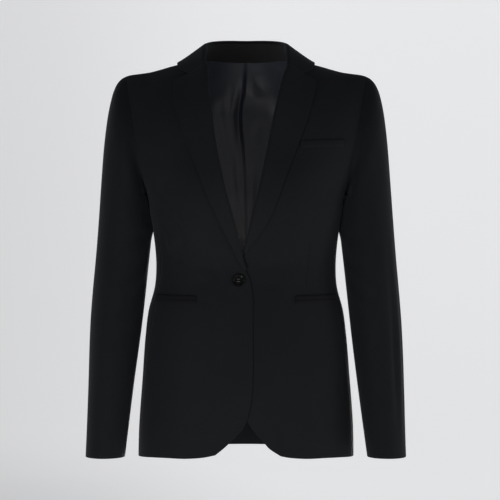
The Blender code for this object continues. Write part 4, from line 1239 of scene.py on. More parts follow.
@dataclass
class Shell:
    """A closed wall of cloth with rounded edges, sewn from the two faces of a wall."""

    node: str
    wall: Wall
    slot: str = "cloth"
    rounding: float = 0.0006
    segments: int = 2
    lined: Points | None = None
    marks: dict[str, Points] = field(default_factory=dict)

    def flat_map(self) -> Points:
        """The cloth's own flat coordinates in metres, across and along its grid."""
        outer = self.wall.outer
        middle = outer[:, outer.shape[1] // 2, 0][:, None]
        across = arc_lengths(outer, 1)
        across = across - across[:, outer.shape[1] // 2][:, None] + middle
        return np.stack([across, arc_lengths(outer, 0) + outer[0, 0, 2]], axis=-1)

    def build(self, *materials: bpy.types.Material) -> None:
        """Makes the piece, named for the node that it stands for.

        Args:
            materials: The outside's material, then the lined inside's where there is one.
        """
        rows, columns = self.wall.outer.shape[:2]
        outer, inner = self.wall.outer.reshape(-1, 3), self.wall.inner.reshape(-1, 3)
        flat = self.flat_map().reshape(-1, 2).tolist()
        bm = bmesh.new()
        bmesh.ops.create_grid(bm, x_segments=columns - 1, y_segments=rows - 1, size=1)
        place = bm.verts.layers.int.new("place")
        marks = {bm.verts.layers.float.new(key): value.reshape(-1) for key, value in self.marks.items()}
        for index, vert in enumerate(bm.verts):
            vert[place] = index
            vert.co = inner[index]
            for layer, values in marks.items():
                vert[layer] = values[index]
        inside = set(bm.faces)
        made = bmesh.ops.extrude_face_region(bm, geom=bm.faces[:], use_keep_orig=True)["geom"]
        outside = {face for face in made if isinstance(face, bmesh.types.BMFace)}
        for vert in made:
            if isinstance(vert, bmesh.types.BMVert):
                vert.co = outer[vert[place]]
        uv = bm.loops.layers.uv.new("cloth")
        for face in bm.faces:
            for loop in face.loops:
                loop[uv].uv = flat[loop.vert[place]]
        if self.lined is not None:
            for face in inside:
                row, column = divmod(min(vert[place] for vert in face.verts), columns)
                face.material_index = int(self.lined[row, column])
        bmesh.ops.recalc_face_normals(bm, faces=bm.faces[:])
        grids = inside | outside
        rims = [edge for edge in bm.edges if sum(face in grids for face in edge.link_faces) == 1]
        shape = {"offset": self.rounding, "offset_type": "OFFSET", "segments": self.segments}
        plain = {"profile": 0.5, "affect": "EDGES", "clamp_overlap": True, "material": -1}
        bmesh.ops.bevel(bm, geom=rims, **shape, **plain)
        mesh = mesh_of(bm, self.node)
        mesh.shade_smooth()
        for material in materials:
            mesh.materials.append(material)
        add_piece(f"dressed_{self.node}", mesh, [self.node])


@dataclass
class Part:
    """A group of pieces that is made from the pattern and the finished materials."""

    pattern: Pattern
    wardrobe: Wardrobe

    def build(self) -> None:
        """Makes its pieces."""
        raise NotImplementedError


@dataclass
class Body(Part):
    """Fronts, side panels and backs, with their facings and lining inside."""

    facing_share: float = 0.34
    hem_turned: float = 0.034
    # each front's dart, seen from the front: x, z from its top down
    right_dart: Table = (
        (-0.1246, -0.23), (-0.1195, -0.248), (-0.112, -0.265), (-0.103, -0.28), (-0.1, -0.296),
    )
    left_dart: Table = ((0.104, -0.28), (0.101, -0.32), (0.096, -0.379))
    dart_fade: float = 0.012
    dart_fine: int = 40

    def dart_marks(self, side: Side, points: Points) -> dict[str, Points]:
        """Signed distance from a front's dart, and how far past its ends each point is.

        Args:
            side: Which front.
            points: Its outer points.

        Returns:
            The marks dart, in metres, and dart_run, 1 where the dart has ended.
        """
        rows = self.right_dart if side is Side.RIGHT else self.left_dart
        line = curve_through(np.array(rows), self.dart_fine)
        flat = points[..., (0, 2)].reshape(-1, 2)
        step, _, distance = nearest_on(line, flat)
        way, apart = np.diff(line, axis=0)[step], flat - line[step]
        turn = way[:, 0] * apart[:, 1] - way[:, 1] * apart[:, 0]
        run = np.minimum(line[0, 1] - flat[:, 1], flat[:, 1] - line[-1, 1])
        signed = distance * np.where(turn < 0, -1.0, 1.0)
        shape = points.shape[:-1]
        return {
            "dart": signed.reshape(shape),
            "dart_run": np.clip(1 - run / self.dart_fade, 0, 1).reshape(shape),
        }

    def lined_faces(self, wall: Wall, facing: bool) -> Points:
        """Which faces inside a panel are lining, not its hem or its facing."""
        last = wall.outer.shape[1] - 1
        lined = arc_lengths(wall.inner, 0)[:-1, :-1] > self.hem_turned
        if facing:
            lined &= (np.arange(last) / last > self.facing_share)[None, :]
        return lined

    def build(self) -> None:
        """Makes the six panels."""
        cloth = self.pattern.cloth
        for side in Side:
            panels = {
                "front": self.pattern.front(side),
                "side_panel": self.pattern.side_panel(side),
                "back": self.pattern.back(side),
            }
            for name, (points, normals) in panels.items():
                wall = trim(Wall(points, points - normals * cloth.thick), -cloth.seam_lap / 2)
                outside, marks = self.wardrobe.cloth, {}
                if name == "back":
                    for face in wall:
                        face[:, 0, 0] = -side.sign * cloth.centre_lap / 2
                if name == "front":
                    outside, marks = self.wardrobe.darted, self.dart_marks(side, points)
                lined = self.lined_faces(wall, facing=name == "front")
                shell = Shell(side.name_of(name), wall, lined=lined, marks=marks)
                shell.build(outside, self.wardrobe.lining)


@dataclass
class BackLining(Part):
    """The two halves of the back lining, with a pleat pressed into the centre line."""

    # how far up its first row is, in rows of the pattern, and the cloth that is turned up on it
    hem_row: float = 0.9
    hem_turned: float = 0.04
    # its columns are closer near the pleat
    crowding: float = 1.5
    # the line that the pleat follows and how deep it is: z, x, depth
    pleat: Table = (
        (0.01, -0.0015, 0.0002), (-0.01, -0.002, 0.0009), (-0.036, -0.0038, 0.0032),
        (-0.06, -0.008, 0.0042), (-0.087, -0.01, 0.0042), (-0.105, -0.009, 0.003),
        (-0.13, -0.006, 0.0016), (-0.16, -0.0036, 0.0009), (-0.24, -0.0004, 0.0007),
        (-0.3, 0.0004, 0.0005), (-0.64, 0.0, 0.0004),
    )
    # how far out the lining is drawn to that line, and where the pleat's groove starts and ends
    pleat_reach: float = 0.03
    groove: tuple[float, float] = (0.0004, 0.0028)
    # how wide the pleat's raised edge is on each side
    crest_right: float = 0.011
    crest_left: float = 0.017
    # soft drag folds: x, z where each starts, bends and ends; width, depth, deepest share
    folds: Table = (
        (0.018, -0.005, 0.026, -0.033, 0.024, -0.056, 0.011, 0.0026, 0.45),
        (-0.02, -0.01, -0.025, -0.06, -0.021, -0.125, 0.0065, 0.0016, 0.45),
        (0.023, -0.082, 0.024, -0.11, 0.016, -0.15, 0.007, 0.0017, 0.4),
        (-0.015, -0.12, -0.013, -0.19, -0.007, -0.26, 0.005, 0.0013, 0.5),
        (0.013, -0.15, 0.012, -0.21, 0.007, -0.27, 0.005, 0.0014, 0.5),
        (0.042, -0.035, 0.04, -0.09, 0.029, -0.16, 0.006, 0.0014, 0.5),
        (-0.042, -0.03, -0.04, -0.09, -0.029, -0.17, 0.007, 0.0012, 0.5),
        (-0.035, -0.38, -0.042, -0.49, -0.039, -0.6, 0.012, 0.0018, 0.6),
        (0.038, -0.37, 0.043, -0.47, 0.037, -0.6, 0.011, 0.0016, 0.6),
    )
    fold_soft: float = 0.0004
    rounding: float = 0.0003

    def resampled(self, panel: Panel) -> Panel:
        """The back's grid with its rows raised off the hem and its columns crowded to the pleat.

        Args:
            panel: The back's grid.

        Returns:
            The new grid.
        """
        points, normals = panel
        rows = np.arange(len(points), dtype=float)
        rows = rows + (rows[-1] - rows) / rows[-1] * self.hem_row * self.pattern.fine
        last = points.shape[1] - 1
        columns = last * np.linspace(0, 1, last + 1) ** self.crowding
        for axis, at in ((0, rows), (1, columns)):
            low = np.minimum(at.astype(int), points.shape[axis] - 2)
            part = (at - low).reshape((-1, 1, 1) if axis == 0 else (1, -1, 1))
            points = np.take(points, low, axis) * (1 - part) + np.take(points, low + 1, axis) * part
            normals = np.take(normals, low, axis) * (1 - part) + np.take(normals, low + 1, axis) * part
        return Panel(points, unit(normals))

    def build(self) -> None:
        """Makes both halves."""
        cloth, torso = self.pattern.cloth, self.pattern.torso
        folds = laid_folds(self.folds, functools.partial(torso.at, facing=Facing.BACK))
        for side, crest in ((Side.RIGHT, self.crest_right), (Side.LEFT, self.crest_left)):
            points, normals = self.resampled(self.pattern.back(side))
            outer = points - normals * (cloth.thick + cloth.lining_rest)
            wall = Wall(outer, outer - normals * cloth.lining)
            wall = trim(wall, cloth.lining_set_in, columns=(False, True))
            lift = -sum(fold.relief(points) for fold in folds)
            lift = np.logaddexp(0, lift / self.fold_soft) * self.fold_soft
            across, height = np.abs(points[..., 0]), points[:, :1, 2]
            raised = ease(across, *self.groove) * np.exp(-((across / crest) ** 2))
            push = normals * (lift + raised * read(self.pleat, height, 2))[..., None]
            wall = Wall(wall.outer - push, wall.inner - push)
            for face in wall:
                face[:, 0, 0] = -side.sign * cloth.centre_lap / 2
                face[..., 0] += read(self.pleat, height) * np.exp(-((across / self.pleat_reach) ** 2))
            lined = (arc_lengths(wall.inner, 0) > self.hem_turned)[:-1, :-1]
            shell = Shell(side.name_of("back_lining"), wall, "lining", self.rounding, lined=lined)
            shell.build(self.wardrobe.cloth, self.wardrobe.lining)


@dataclass
class Sleeves(Part):
    """The two-piece sleeves, each a top and an under sleeve."""

    cuff_turned: float = 0.035
    # left sleeve's rings: inner x, z, outer x, z, depth to the front, to the back, middle y,
    # and how far the ring still follows the armhole
    rings: Table = (
        (0.1635, -0.22, 0.199, -0.0225, 0.064, 0.066, 0.0, 1.0),
        (0.1645, -0.224, 0.2062, -0.0265, 0.0655, 0.0675, 0.0, 0.75),
        (0.1642, -0.2285, 0.2125, -0.033, 0.0665, 0.0685, 0.0, 0.5),
        (0.1634, -0.2345, 0.2175, -0.042, 0.067, 0.0695, 0.0, 0.28),
        (0.1618, -0.243, 0.2225, -0.057, 0.067, 0.07, -0.001, 0.12),
        (0.1596, -0.255, 0.229, -0.089, 0.0665, 0.0695, -0.003, 0.0),
        (0.1574, -0.269, 0.2352, -0.14, 0.065, 0.067, -0.004, 0.0),
        (0.1565, -0.285, 0.24, -0.202, 0.0635, 0.0645, -0.005, 0.0),
        (0.1583, -0.305, 0.2448, -0.275, 0.062, 0.0625, -0.006, 0.0),
        (0.1612, -0.33, 0.2488, -0.33, 0.0605, 0.0605, -0.008, 0.0),
        (0.1735, -0.4365, 0.2581, -0.4365, 0.0565, 0.0565, -0.016, 0.0),
        (0.187, -0.54, 0.2628, -0.54, 0.052, 0.052, -0.031, 0.0),
        (0.2017, -0.6524, 0.2656, -0.6524, 0.0465, 0.0465, -0.05, 0.0),
    )
    # how far the inner line is pressed towards the side of the body: z, distance
    pressed: Table = (
        (-0.22, 0.0), (-0.2225, 0.0015), (-0.226, 0.0029), (-0.234, 0.003), (-0.242, 0.0025),
        (-0.25, 0.002), (-0.266, 0.0023), (-0.278, 0.0031), (-0.283, 0.002), (-0.292, 0.0003),
        (-0.305, 0.0),
    )
    pressed_steps: float = 3.2
    # how far the cuff is drawn in and up, and the height where that starts
    drawn_in: float = 0.0036
    drawn_up: float = 0.0046
    drawn_from: float = -0.3
    cap_rows: int = 9
    cap_fine: int = 4
    arm_fine: int = 26
    round_fine: int = 5
    front_seam: int = 9
    back_seam: int = 17
    # ring row and armhole step where a fold starts, bends and ends; width, depth, deepest share
    right_folds: Table = (
        (8.6, 11.5, 9.2, 9.0, 9.5, 5.5, 0.01, 0.0026, 0.3),
        (9.2, 12.0, 9.7, 8.5, 9.8, 4.5, 0.0095, 0.002, 0.35),
        (9.9, 11.0, 10.2, 8.5, 10.3, 6.0, 0.009, 0.0013, 0.4),
        (7.2, 11.0, 7.9, 8.0, 8.3, 5.0, 0.011, 0.0016, 0.3),
        (4.2, 4.5, 6.0, 4.0, 8.0, 3.6, 0.013, 0.001, 0.5),
        (4.5, 21.5, 6.2, 21.8, 8.2, 22.0, 0.013, 0.0014, 0.5),
        (9.0, 18.0, 9.4, 20.5, 9.6, 23.0, 0.011, 0.0014, 0.4),
        (9.8, 17.0, 10.0, 19.5, 10.1, 22.0, 0.01, 0.0011, 0.4),
        (10.8, 9.5, 11.1, 7.0, 11.2, 5.0, 0.01, 0.0008, 0.4),
    )
    left_folds: Table = (
        (7.6, 3.5, 10.2, 3.7, 12.0, 4.0, 0.006, 0.0022, 0.6),
        (7.4, 2.4, 10.2, 2.7, 12.0, 3.0, 0.008, -0.0016, 0.6),
        (8.5, 11.8, 9.1, 9.4, 9.3, 6.0, 0.0105, 0.0023, 0.3),
        (9.1, 11.5, 9.5, 8.8, 9.7, 5.5, 0.009, 0.0021, 0.35),
        (10.0, 11.5, 10.2, 9.0, 10.4, 6.5, 0.0095, 0.0012, 0.4),
        (7.0, 11.5, 7.8, 8.6, 8.1, 5.8, 0.011, 0.0017, 0.3),
        (4.4, 5.0, 6.2, 4.6, 8.0, 4.2, 0.013, 0.0011, 0.5),
        (4.3, 21.0, 6.0, 21.4, 8.0, 21.8, 0.013, 0.0013, 0.5),
        (9.1, 17.6, 9.4, 20.0, 9.7, 22.6, 0.011, 0.0016, 0.4),
        (9.9, 17.4, 10.1, 19.8, 10.1, 22.4, 0.01, 0.001, 0.4),
        (10.9, 10.0, 11.1, 7.4, 11.3, 5.4, 0.01, 0.0007, 0.4),
    )
    # turn across, turn along, phase and size of each slow wave
    waves: Table = (
        (41.0, 10.4, 0.9, 0.00035), (-23.0, 23.2, 2.2, 0.0003), (67.0, 15.2, 4.0, 0.00012),
    )
    calm_rows: tuple[float, float] = (1.0, 5.0)

    def surface(self, rows: Points, steps: Points) -> Points:
        """Points of the left sleeve.

        Args:
            rows: Places down the table of rings.
            steps: Places round the armhole, in the shape of rows once broadcast.

        Returns:
            The points.
        """
        rows, steps = np.broadcast_arrays(np.asarray(rows, float), np.asarray(steps, float))
        columns = (smooth(rows, range(len(self.rings)), column) for column in zip(*self.rings))
        in_x, in_z, out_x, out_z, front, back, middle, follow = columns
        angle = 2 * math.pi * steps / self.pattern.armhole_steps
        share = (1 - np.cos(angle)) / 2
        x = out_x + (in_x - out_x) * share
        z = out_z + (in_z - out_z) * share
        oval = -np.sin(angle) * np.where(np.sin(angle) > 0, front, back)
        y = middle + follow * self.pattern.armhole(steps)[..., 1] + (1 - follow) * oval
        near = np.exp(-(((steps - self.pattern.armhole_steps / 2) / self.pressed_steps) ** 2))
        drawn = ease(z, self.drawn_from, self.rings[-1][1])
        x = x - read(self.pressed, z) * near - self.drawn_in * drawn
        z = z + self.drawn_up * drawn
        return np.stack([x, y, z], axis=-1)

    def relief(self, side: Side, rings: Points, rows: Points) -> Points:
        """How far a sleeve's cloth stands off its rings, nothing at the armhole.

        Args:
            side: Which sleeve.
            rings: Its plain points.
            rows: Each row's place down the rings.

        Returns:
            The lifts.
        """
        table = self.right_folds if side is Side.RIGHT else self.left_folds
        lift = sum(fold.relief(rings) for fold in laid_folds(table, self.surface))
        for turn, climb, phase, size in self.waves:
            wave = turn * rings[..., 1] + climb * rings[..., 2] + phase * side.sign
            lift = lift + size * np.sin(wave)
        return lift * ease(rows, *self.calm_rows)[:, None]

    def set_in(self, rings: Points, normals: Points, body: Points) -> None:
        """Sews a sleeve's first ring to the armhole, its rim square to the panels there.

        Args:
            rings: The sleeve's points, whose first row is moved.
            normals: Its normals, whose first row is turned.
            body: The form's normals round the armhole.
        """
        cloth, arm = self.pattern.cloth, rings[0].copy()
        along = np.concatenate([arm[-2:-1], arm, arm[1:2]])
        across = unit(np.cross(unit(along[2:] - along[:-2]), body))
        across = along_with(across, arm.mean(axis=0) - arm)
        rings[0] = arm + body * cloth.seam_gap - across * cloth.seam_lap / 2
        lean = (normals[0] * across).sum(-1, keepdims=True)
        normals[0] = unit(normals[0] - across * lean)

    def build(self) -> None:
        """Makes the four pieces."""
        cloth, whole = self.pattern.cloth, self.pattern.armhole_steps
        cap = refine(range(self.cap_rows + 1), self.cap_fine)
        arm = refine(range(self.cap_rows, len(self.rings)), self.arm_fine)[1:]
        rows = np.concatenate([cap, arm])
        plain = self.surface(rows[:, None], refine(range(whole + 1), self.round_fine)[None])
        body = self.pattern.torso.normals(plain[0])
        pieces = {
            "top_sleeve": (self.back_seam, whole + self.front_seam),
            "under_sleeve": (self.front_seam, self.back_seam),
        }
        for side in Side:
            middle = plain[:, :-1].mean(axis=1, keepdims=True)
            normals = along_with(grid_normals(plain, closed=True), plain - middle)
            rings = plain + normals * self.relief(side, plain, rows)[..., None]
            rings[:, -1] = rings[:, 0]
            self.set_in(rings, normals, body)
            inner = rings - normals * cloth.thick
            for name, seams in pieces.items():
                start, stop = (seam * self.round_fine for seam in seams)
                columns = np.arange(start, stop + 1) % (whole * self.round_fine)
                wall = Wall(rings[:, columns], inner[:, columns])
                wall = trim(wall, -cloth.seam_lap / 2, rows=(False, False))
                wall = Wall(*(mirrored(face, side) for face in wall))
                from_cuff = arc_lengths(wall.outer[::-1], 0)[::-1][:-1, :-1]
                shell = Shell(side.name_of(name), wall, lined=from_cuff > self.cuff_turned)
                shell.build(self.wardrobe.cloth, self.wardrobe.lining)


@dataclass
class TurnedEdges(Part):
    """The lapels, the collar that turns over the neck and its stand."""

    gorge_z: float = -0.0117
    left_break_z: float = -0.314
    # outer edge of each lapel: z, x
    right_lapel: Table = (
        (-0.0325, -0.1185), (-0.0482, -0.118), (-0.0721, -0.1165), (-0.1006, -0.108),
        (-0.1481, -0.0914), (-0.1847, -0.0767), (-0.2209, -0.0626), (-0.2656, -0.0426),
        (-0.3104, -0.0202), (-0.3297, -0.011), (-0.342, -0.0045),
    )
    left_lapel: Table = (
        (-0.0344, 0.1136), (-0.048, 0.1132), (-0.0622, 0.1092), (-0.0774, 0.1053),
        (-0.1172, 0.0926), (-0.1385, 0.0849), (-0.2, 0.0618), (-0.256, 0.0402), (-0.2944, 0.016),
        (-0.306, 0.0062), (-0.314, 0.001),
    )
    # the notch's inner corner, the share of each leaf's width there, and where it draws a lapel
    notch: tuple[float, float] = (0.0918, -0.0245)
    lapel_gorge: float = 0.64
    collar_gorge: float = 0.72
    notch_reach: float = 0.86
    # half of the collar from the centre back (0) over the shoulder seam (1) to the gorge (2):
    # station, roll's centre x, y, z, outer edge x, y, z
    collar: Table = (
        (0.0, 0.0, 0.067, 0.0388, 0.0, 0.0905, -0.008),
        (0.35, 0.033, 0.059, 0.0383, 0.048, 0.083, -0.007),
        (0.7, 0.056, 0.035, 0.0345, 0.087, 0.052, -0.004),
        (1.0, 0.0668, 0.006, 0.0285, 0.109, 0.01, -0.0015),
        (1.25, 0.0688, -0.0141, 0.0234, 0.1112, -0.0055, -0.004),
        (1.5, 0.0698, -0.0316, 0.0144, 0.112, -0.02, -0.0075),
        (1.75, 0.0705, -0.0469, 0.0027, 0.1108, -0.031, -0.0112),
        (2.0, 0.0664, -0.056, -0.009, 0.108, -0.04, -0.015),
    )
    # the station where the stand ends, and the steepest start of a turn
    stand_end: float = 1.9
    most_start: float = 1.2
    foot_rise: float = 0.0007
    # inside the neck the stand reaches down over the lining: level of its edge, slope, set-in
    foot_level: float = 0.0036
    foot_slope: float = 0.0897
    foot_set_in: float = 0.0048
    foot_reach: tuple[float, float] = (1.3, 1.00)
    # stations over which the foot runs out to the front's edge, and the leaf to the notch
    run_out: tuple[float, float] = (1.6, 2.0)
    knee_run: tuple[float, float] = (1.75, 2.0)
    gorge_reach: float = 0.01
    # how fast a lapel's leaf comes down on the front, and how softly the collar's is raised
    leaf_fall: float = 1.6
    leaf_soft: float = 0.0012
    leaf_start: float = 0.25
    roll_steps: int = 10
    knee_steps: int = 14
    edge_steps: int = 8
    collar_steps: int = 64
    stand_steps: int = 9

    def turned(
        self, roll: Points, leaf: Points, seam: Points, along: Points
    ) -> tuple[Points, Points, Points]:
        """How a turned edge goes round.

        Args:
            roll: Centre of the turn at each station.
            leaf: A point of the leaf there.
            seam: The seam that the turn rises from.
            along: Direction of the roll.

        Returns:
            Vectors out of the leaf and out of the turn, and the angle where the turn starts.
        """
        away = leaf - roll
        away = unit(away - along * (away * along).sum(-1, keepdims=True))
        out = along_with(np.cross(along, away), roll - self.pattern.torso.core(roll))
        rise = roll - seam
        start = np.arctan2((rise * out).sum(-1), np.maximum(-(rise * away).sum(-1), 1e-9))
        return out, -away, np.clip(start, 0, self.most_start)

    def level_start(self, out: Points, back: Points, normals: Points) -> Points:
        """The angle at which a turn starts level with a front's cut edge."""
        return np.arctan2(-(normals * back).sum(-1), (normals * out).sum(-1))

    def turn_points(
        self, roll: Points, out: Points, back: Points, start: Points, radius: Points
    ) -> Points:
        """Points round the turn, a row for each point of the roll."""
        share = np.linspace(0, 1, self.roll_steps + 1)[None, :, None]
        angle = start[:, None, None] * (1 - share) + math.pi * share
        ring = back[:, None] * np.sin(angle) - out[:, None] * np.cos(angle)
        return roll[:, None] + radius[:, None, None] * ring

    def bent_steps(
        self, inner: Points, knee: Points, outer: Points, bend: float
    ) -> list[tuple[float, Points]]:
        """Lines of a leaf from its turn over its knee to its edge.

        Args:
            inner: The line where the leaf leaves its turn.
            knee: The line through the notch's inner corner.
            outer: The leaf's edge.
            bend: Share of the leaf's width at the knee.

        Returns:
            Each line with its share of the way, without the first.
        """
        steps = []
        for share in np.linspace(0, 1, self.knee_steps + 1)[1:]:
            steps.append((bend * share, inner + (knee - inner) * share))
        for share in np.linspace(0, 1, self.edge_steps + 1)[1:]:
            steps.append((bend + (1 - bend) * share, knee + (outer - knee) * share))
        return steps

    def front_edge(self, side: Side, z: Points) -> Panel:
        """Points and normals on a front's cut edge at heights z."""
        edge = self.pattern.front(side).points[:, 0]
        points = np.stack([np.interp(z, edge[:, 2], edge[:, k]) for k in range(3)], axis=-1)
        return Panel(points, self.pattern.torso.normals(points))

    def gorge_frame(self, side: Side) -> tuple[Points, Points]:
        """The roll's centre at the gorge, and the mean direction of the roll there, going up."""
        heights = np.array([self.gorge_z - self.gorge_reach, self.gorge_z])
        points, normals = self.front_edge(side, heights)
        roll = points + normals * (self.pattern.roll[0][1] - self.pattern.cloth.thick / 2)
        after = np.array(self.collar[-2][1:4]) * (side.sign, 1, 1) - roll[1]
        return roll[1], unit(unit(roll[1] - roll[0]) + unit(after))

    def lapel_grid(self, side: Side) -> Panel:
        """Middle points and normals of a lapel: the turn first, then the leaf to its outer edge.

        Args:
            side: Which lapel.

        Returns:
            The grid, a row for each height of the roll.
        """
        cloth = self.pattern.cloth
        edge = self.right_lapel if side is Side.RIGHT else self.left_lapel
        low = self.pattern.break_z if side is Side.RIGHT else self.left_break_z
        own = self.pattern.front(side).points[:, 0, 2]
        between = own[(own > low + cloth.seam_gap) & (own < self.gorge_z - cloth.seam_gap)]
        roll_z = np.array([low, *between, self.gorge_z])
        share = (roll_z - low) / (self.gorge_z - low)
        edge_z = edge[-1][0] + (edge[0][0] - edge[-1][0]) * share
        radius = read(self.pattern.roll, roll_z)
        rim_points, rim_normals = self.front_edge(side, roll_z)
        roll = rim_points + rim_normals * (radius - cloth.thick / 2)[:, None]
        corner = np.array([side.sign * self.notch[0], self.notch[1]])
        inner = np.stack([roll[:, 0], roll_z], axis=-1)
        outer = np.stack([read(edge, edge_z), edge_z], axis=-1)
        knee = inner + (outer - inner) * self.lapel_gorge
        knee = knee + (corner - knee[-1]) * ease(share, self.notch_reach, 1.0)[:, None]
        leaf = []
        for step, flat in self.bent_steps(inner, knee, outer, self.lapel_gorge):
            base, normals = self.pattern.front_surface(side, flat[:, 0], flat[:, 1])
            room = 2 * radius - cloth.thick - cloth.rest_gap
            above = cloth.rest_gap + room * (1 - step) ** self.leaf_fall
            leaf.append(base + normals * (above + cloth.thick / 2)[:, None])
        along = unit(np.gradient(roll, axis=0))
        along[-1] = self.gorge_frame(side)[1]
        lead = leaf[self.knee_steps // 2]
        out, back, _ = self.turned(roll, lead, rim_points, along)
        start = self.level_start(out, back, rim_normals)
        turn = self.turn_points(roll, out, back, start, radius)
        points = np.concatenate([turn, np.stack(leaf, axis=1)], axis=1)
        normals = grid_normals(points)
        facing = np.sign((normals[:, 0] * rim_normals).sum(-1, keepdims=True))
        normals[:, 0] = rim_normals * facing
        return Panel(points, normals)

    def neck_edge(self, side: Side, stations: Points) -> Points:
        """Points on the panels' neck edge, behind (0 to 1) and in front (1 to 2).

        Args:
            side: Which half.
            stations: Where each point is.

        Returns:
            The points.
        """
        back_share = np.linspace(0, 1, self.pattern.neck_steps * self.pattern.back_fine + 1)
        back = mirrored(self.pattern.back_neck(back_share), side)
        front = self.pattern.front(side).points[:, 0][::-1]
        run = np.concatenate([[0], np.cumsum(np.linalg.norm(np.diff(front, axis=0), axis=1))])
        gorge = np.interp(-self.gorge_z, -front[:, 2], run)
        knots = np.concatenate([back_share, 1 + run[1:] / gorge])
        points = np.concatenate([back, front[1:]])
        return np.stack([np.interp(stations, knots, points[:, k]) for k in range(3)], axis=-1)

    def collar_half(self, side: Side) -> tuple[Points, ...]:
        """Stations, seam, roll, its direction and the leaf's edge of half the collar.

        Args:
            side: Which half.

        Returns:
            The five, from the centre back on.
        """
        torso, cloth = self.pattern.torso, self.pattern.cloth
        stations = np.linspace(0, 2, self.collar_steps + 1)
        table = np.array(self.collar)
        table[:, [1, 4]] *= side.sign
        end, direction = self.gorge_frame(side)
        table[-1, 1:4] = end
        roll = np.stack([read(table, stations, k) for k in (1, 2, 3)], axis=-1)
        edge = torso.drape(np.stack([read(table, stations, k) for k in (4, 5, 6)], axis=-1))
        edge = edge + torso.normals(edge) * (cloth.fall_gap + cloth.thick / 2)
        along = unit(np.gradient(roll, axis=0))
        along[-1] = -direction
        return stations, self.neck_edge(side, stations), roll, along, edge

    def notch_corners(self, stations: Points) -> Points:
        """For each station the corner of the notch on its side, at the middle of the cloth.

        Args:
            stations: The stations, below 0 on the right.

        Returns:
            The corners.
        """
        cloth, corners = self.pattern.cloth, []
        for side in Side:
            flat = side.sign * self.notch[0], self.notch[1]
            base, normal = self.pattern.front_surface(side, *flat)
            corners.append(base + normal * (cloth.rest_gap + cloth.thick / 2))
        return np.where(stations[:, None] < 0, *corners)

    def laid_leaf(self, leaf: Points, to_notch: Points) -> Points:
        """The collar's leaf raised where it would run into what it lies on.

        Args:
            leaf: Its middle points.
            to_notch: 1 where a station is at the notch and 0 behind it.

        Returns:
            The points, none of them nearer than the layer's gap.
        """
        cloth = self.pattern.cloth
        seat = self.pattern.torso.drape(leaf)
        normals = self.pattern.torso.normals(seat)
        least = cloth.fall_gap + (cloth.rest_gap - cloth.fall_gap) * to_notch + cloth.thick / 2
        above = ((leaf - seat) * normals).sum(-1)
        rise = self.leaf_soft * np.logaddexp(0, (least - above) / self.leaf_soft)
        begun = ease(np.linspace(0, 1, leaf.shape[1]), 0, self.leaf_start)
        leaf = leaf + normals * (rise * begun)[..., None]
        above = ((leaf - seat) * normals).sum(-1)
        return leaf + normals * np.maximum(least - above, 0)[..., None]

    def foot_line(self, seam: Points, normals: Points, turn: Points, stations: Points) -> Points:
        """The stand's foot, on the neck seam in front and down over the lining behind.

        Args:
            seam: The neck seam.
            normals: The form's normals there.
            turn: The line where the turn starts.
            stations: Station of each point.

        Returns:
            The foot's points.
        """
        cloth = self.pattern.cloth
        within = ease(np.abs(stations), *self.foot_reach)[:, None]
        run_out = ease(np.abs(stations), *self.run_out)[:, None]
        foot = seam + normals * (self.foot_rise - (self.foot_rise + cloth.thick / 4) * run_out)
        foot = foot + unit(turn - foot) * cloth.seam_gap
        foot = foot - normals * self.foot_set_in * within
        level = self.foot_level + self.foot_slope * foot[:, 1:2]
        foot[:, 2:] += (np.minimum(level, foot[:, 2:]) - foot[:, 2:]) * within
        return foot

    def collar_grids(self) -> tuple[Panel, Panel]:
        """Lays the collar and its stand.

        Returns:
            Middle points and normals of each, right gorge to left gorge.
        """
        torso, cloth = self.pattern.torso, self.pattern.cloth
        right, left = (self.collar_half(side) for side in Side)
        stations = np.concatenate([-right[0][:0:-1], left[0]])
        seam, roll, along, edge = (np.concatenate([right[k][:0:-1], left[k]]) for k in (1, 2, 3, 4))
        along[: len(right[0]) - 1] *= -1
        corner = self.notch_corners(stations)
        to_notch = ease(np.abs(stations), *self.knee_run)[:, None]
        run_out = ease(np.abs(stations), *self.run_out)
        out, back, start = self.turned(roll, edge + (corner - edge) * to_notch, seam, along)
        seam_normals = torso.normals(seam)
        start = start + (self.level_start(out, back, seam_normals) - start) * run_out
        turn = self.turn_points(roll, out, back, start, np.full(len(roll), self.pattern.roll[0][1]))
        first = turn[:, -1]
        knee = first + (edge - first) * self.collar_gorge
        knee = knee + (corner - knee) * to_notch
        lines = self.bent_steps(first, knee, edge, self.collar_gorge)
        leaf = self.laid_leaf(np.stack([line for _, line in lines], axis=1), to_notch)
        foot = self.foot_line(seam, seam_normals, turn[:, 0], stations)
        share = np.linspace(0, 1, self.stand_steps + 1)[None, :-1, None]
        stand = foot[:, None] * (1 - share) + turn[:, :1] * share
        fall = np.concatenate([turn, leaf], axis=1)
        whole = np.concatenate([stand, fall], axis=1)
        normals = grid_normals(whole)
        stands = np.abs(stations) <= self.stand_end
        way = whole[:, self.stand_steps + 1] - whole[:, self.stand_steps - 1]
        way = unit(way) * cloth.tight_gap / 2
        top = fall[stands, 0] - way[stands]
        fall_normals = grid_normals(fall)
        fall_normals[stands] = normals[stands, self.stand_steps :]
        fall[stands, 0] += way[stands]
        fall[~stands, 0] += unit(fall[~stands, 1] - fall[~stands, 0]) * cloth.seam_gap
        facing = np.sign((fall_normals[:, 0] * seam_normals).sum(-1, keepdims=True))
        fall_normals[~stands, 0] = (seam_normals * facing)[~stands]
        stand = np.concatenate([stand[stands], top[:, None]], axis=1)
        return Panel(fall, fall_normals), Panel(stand, normals[stands, : self.stand_steps + 1])

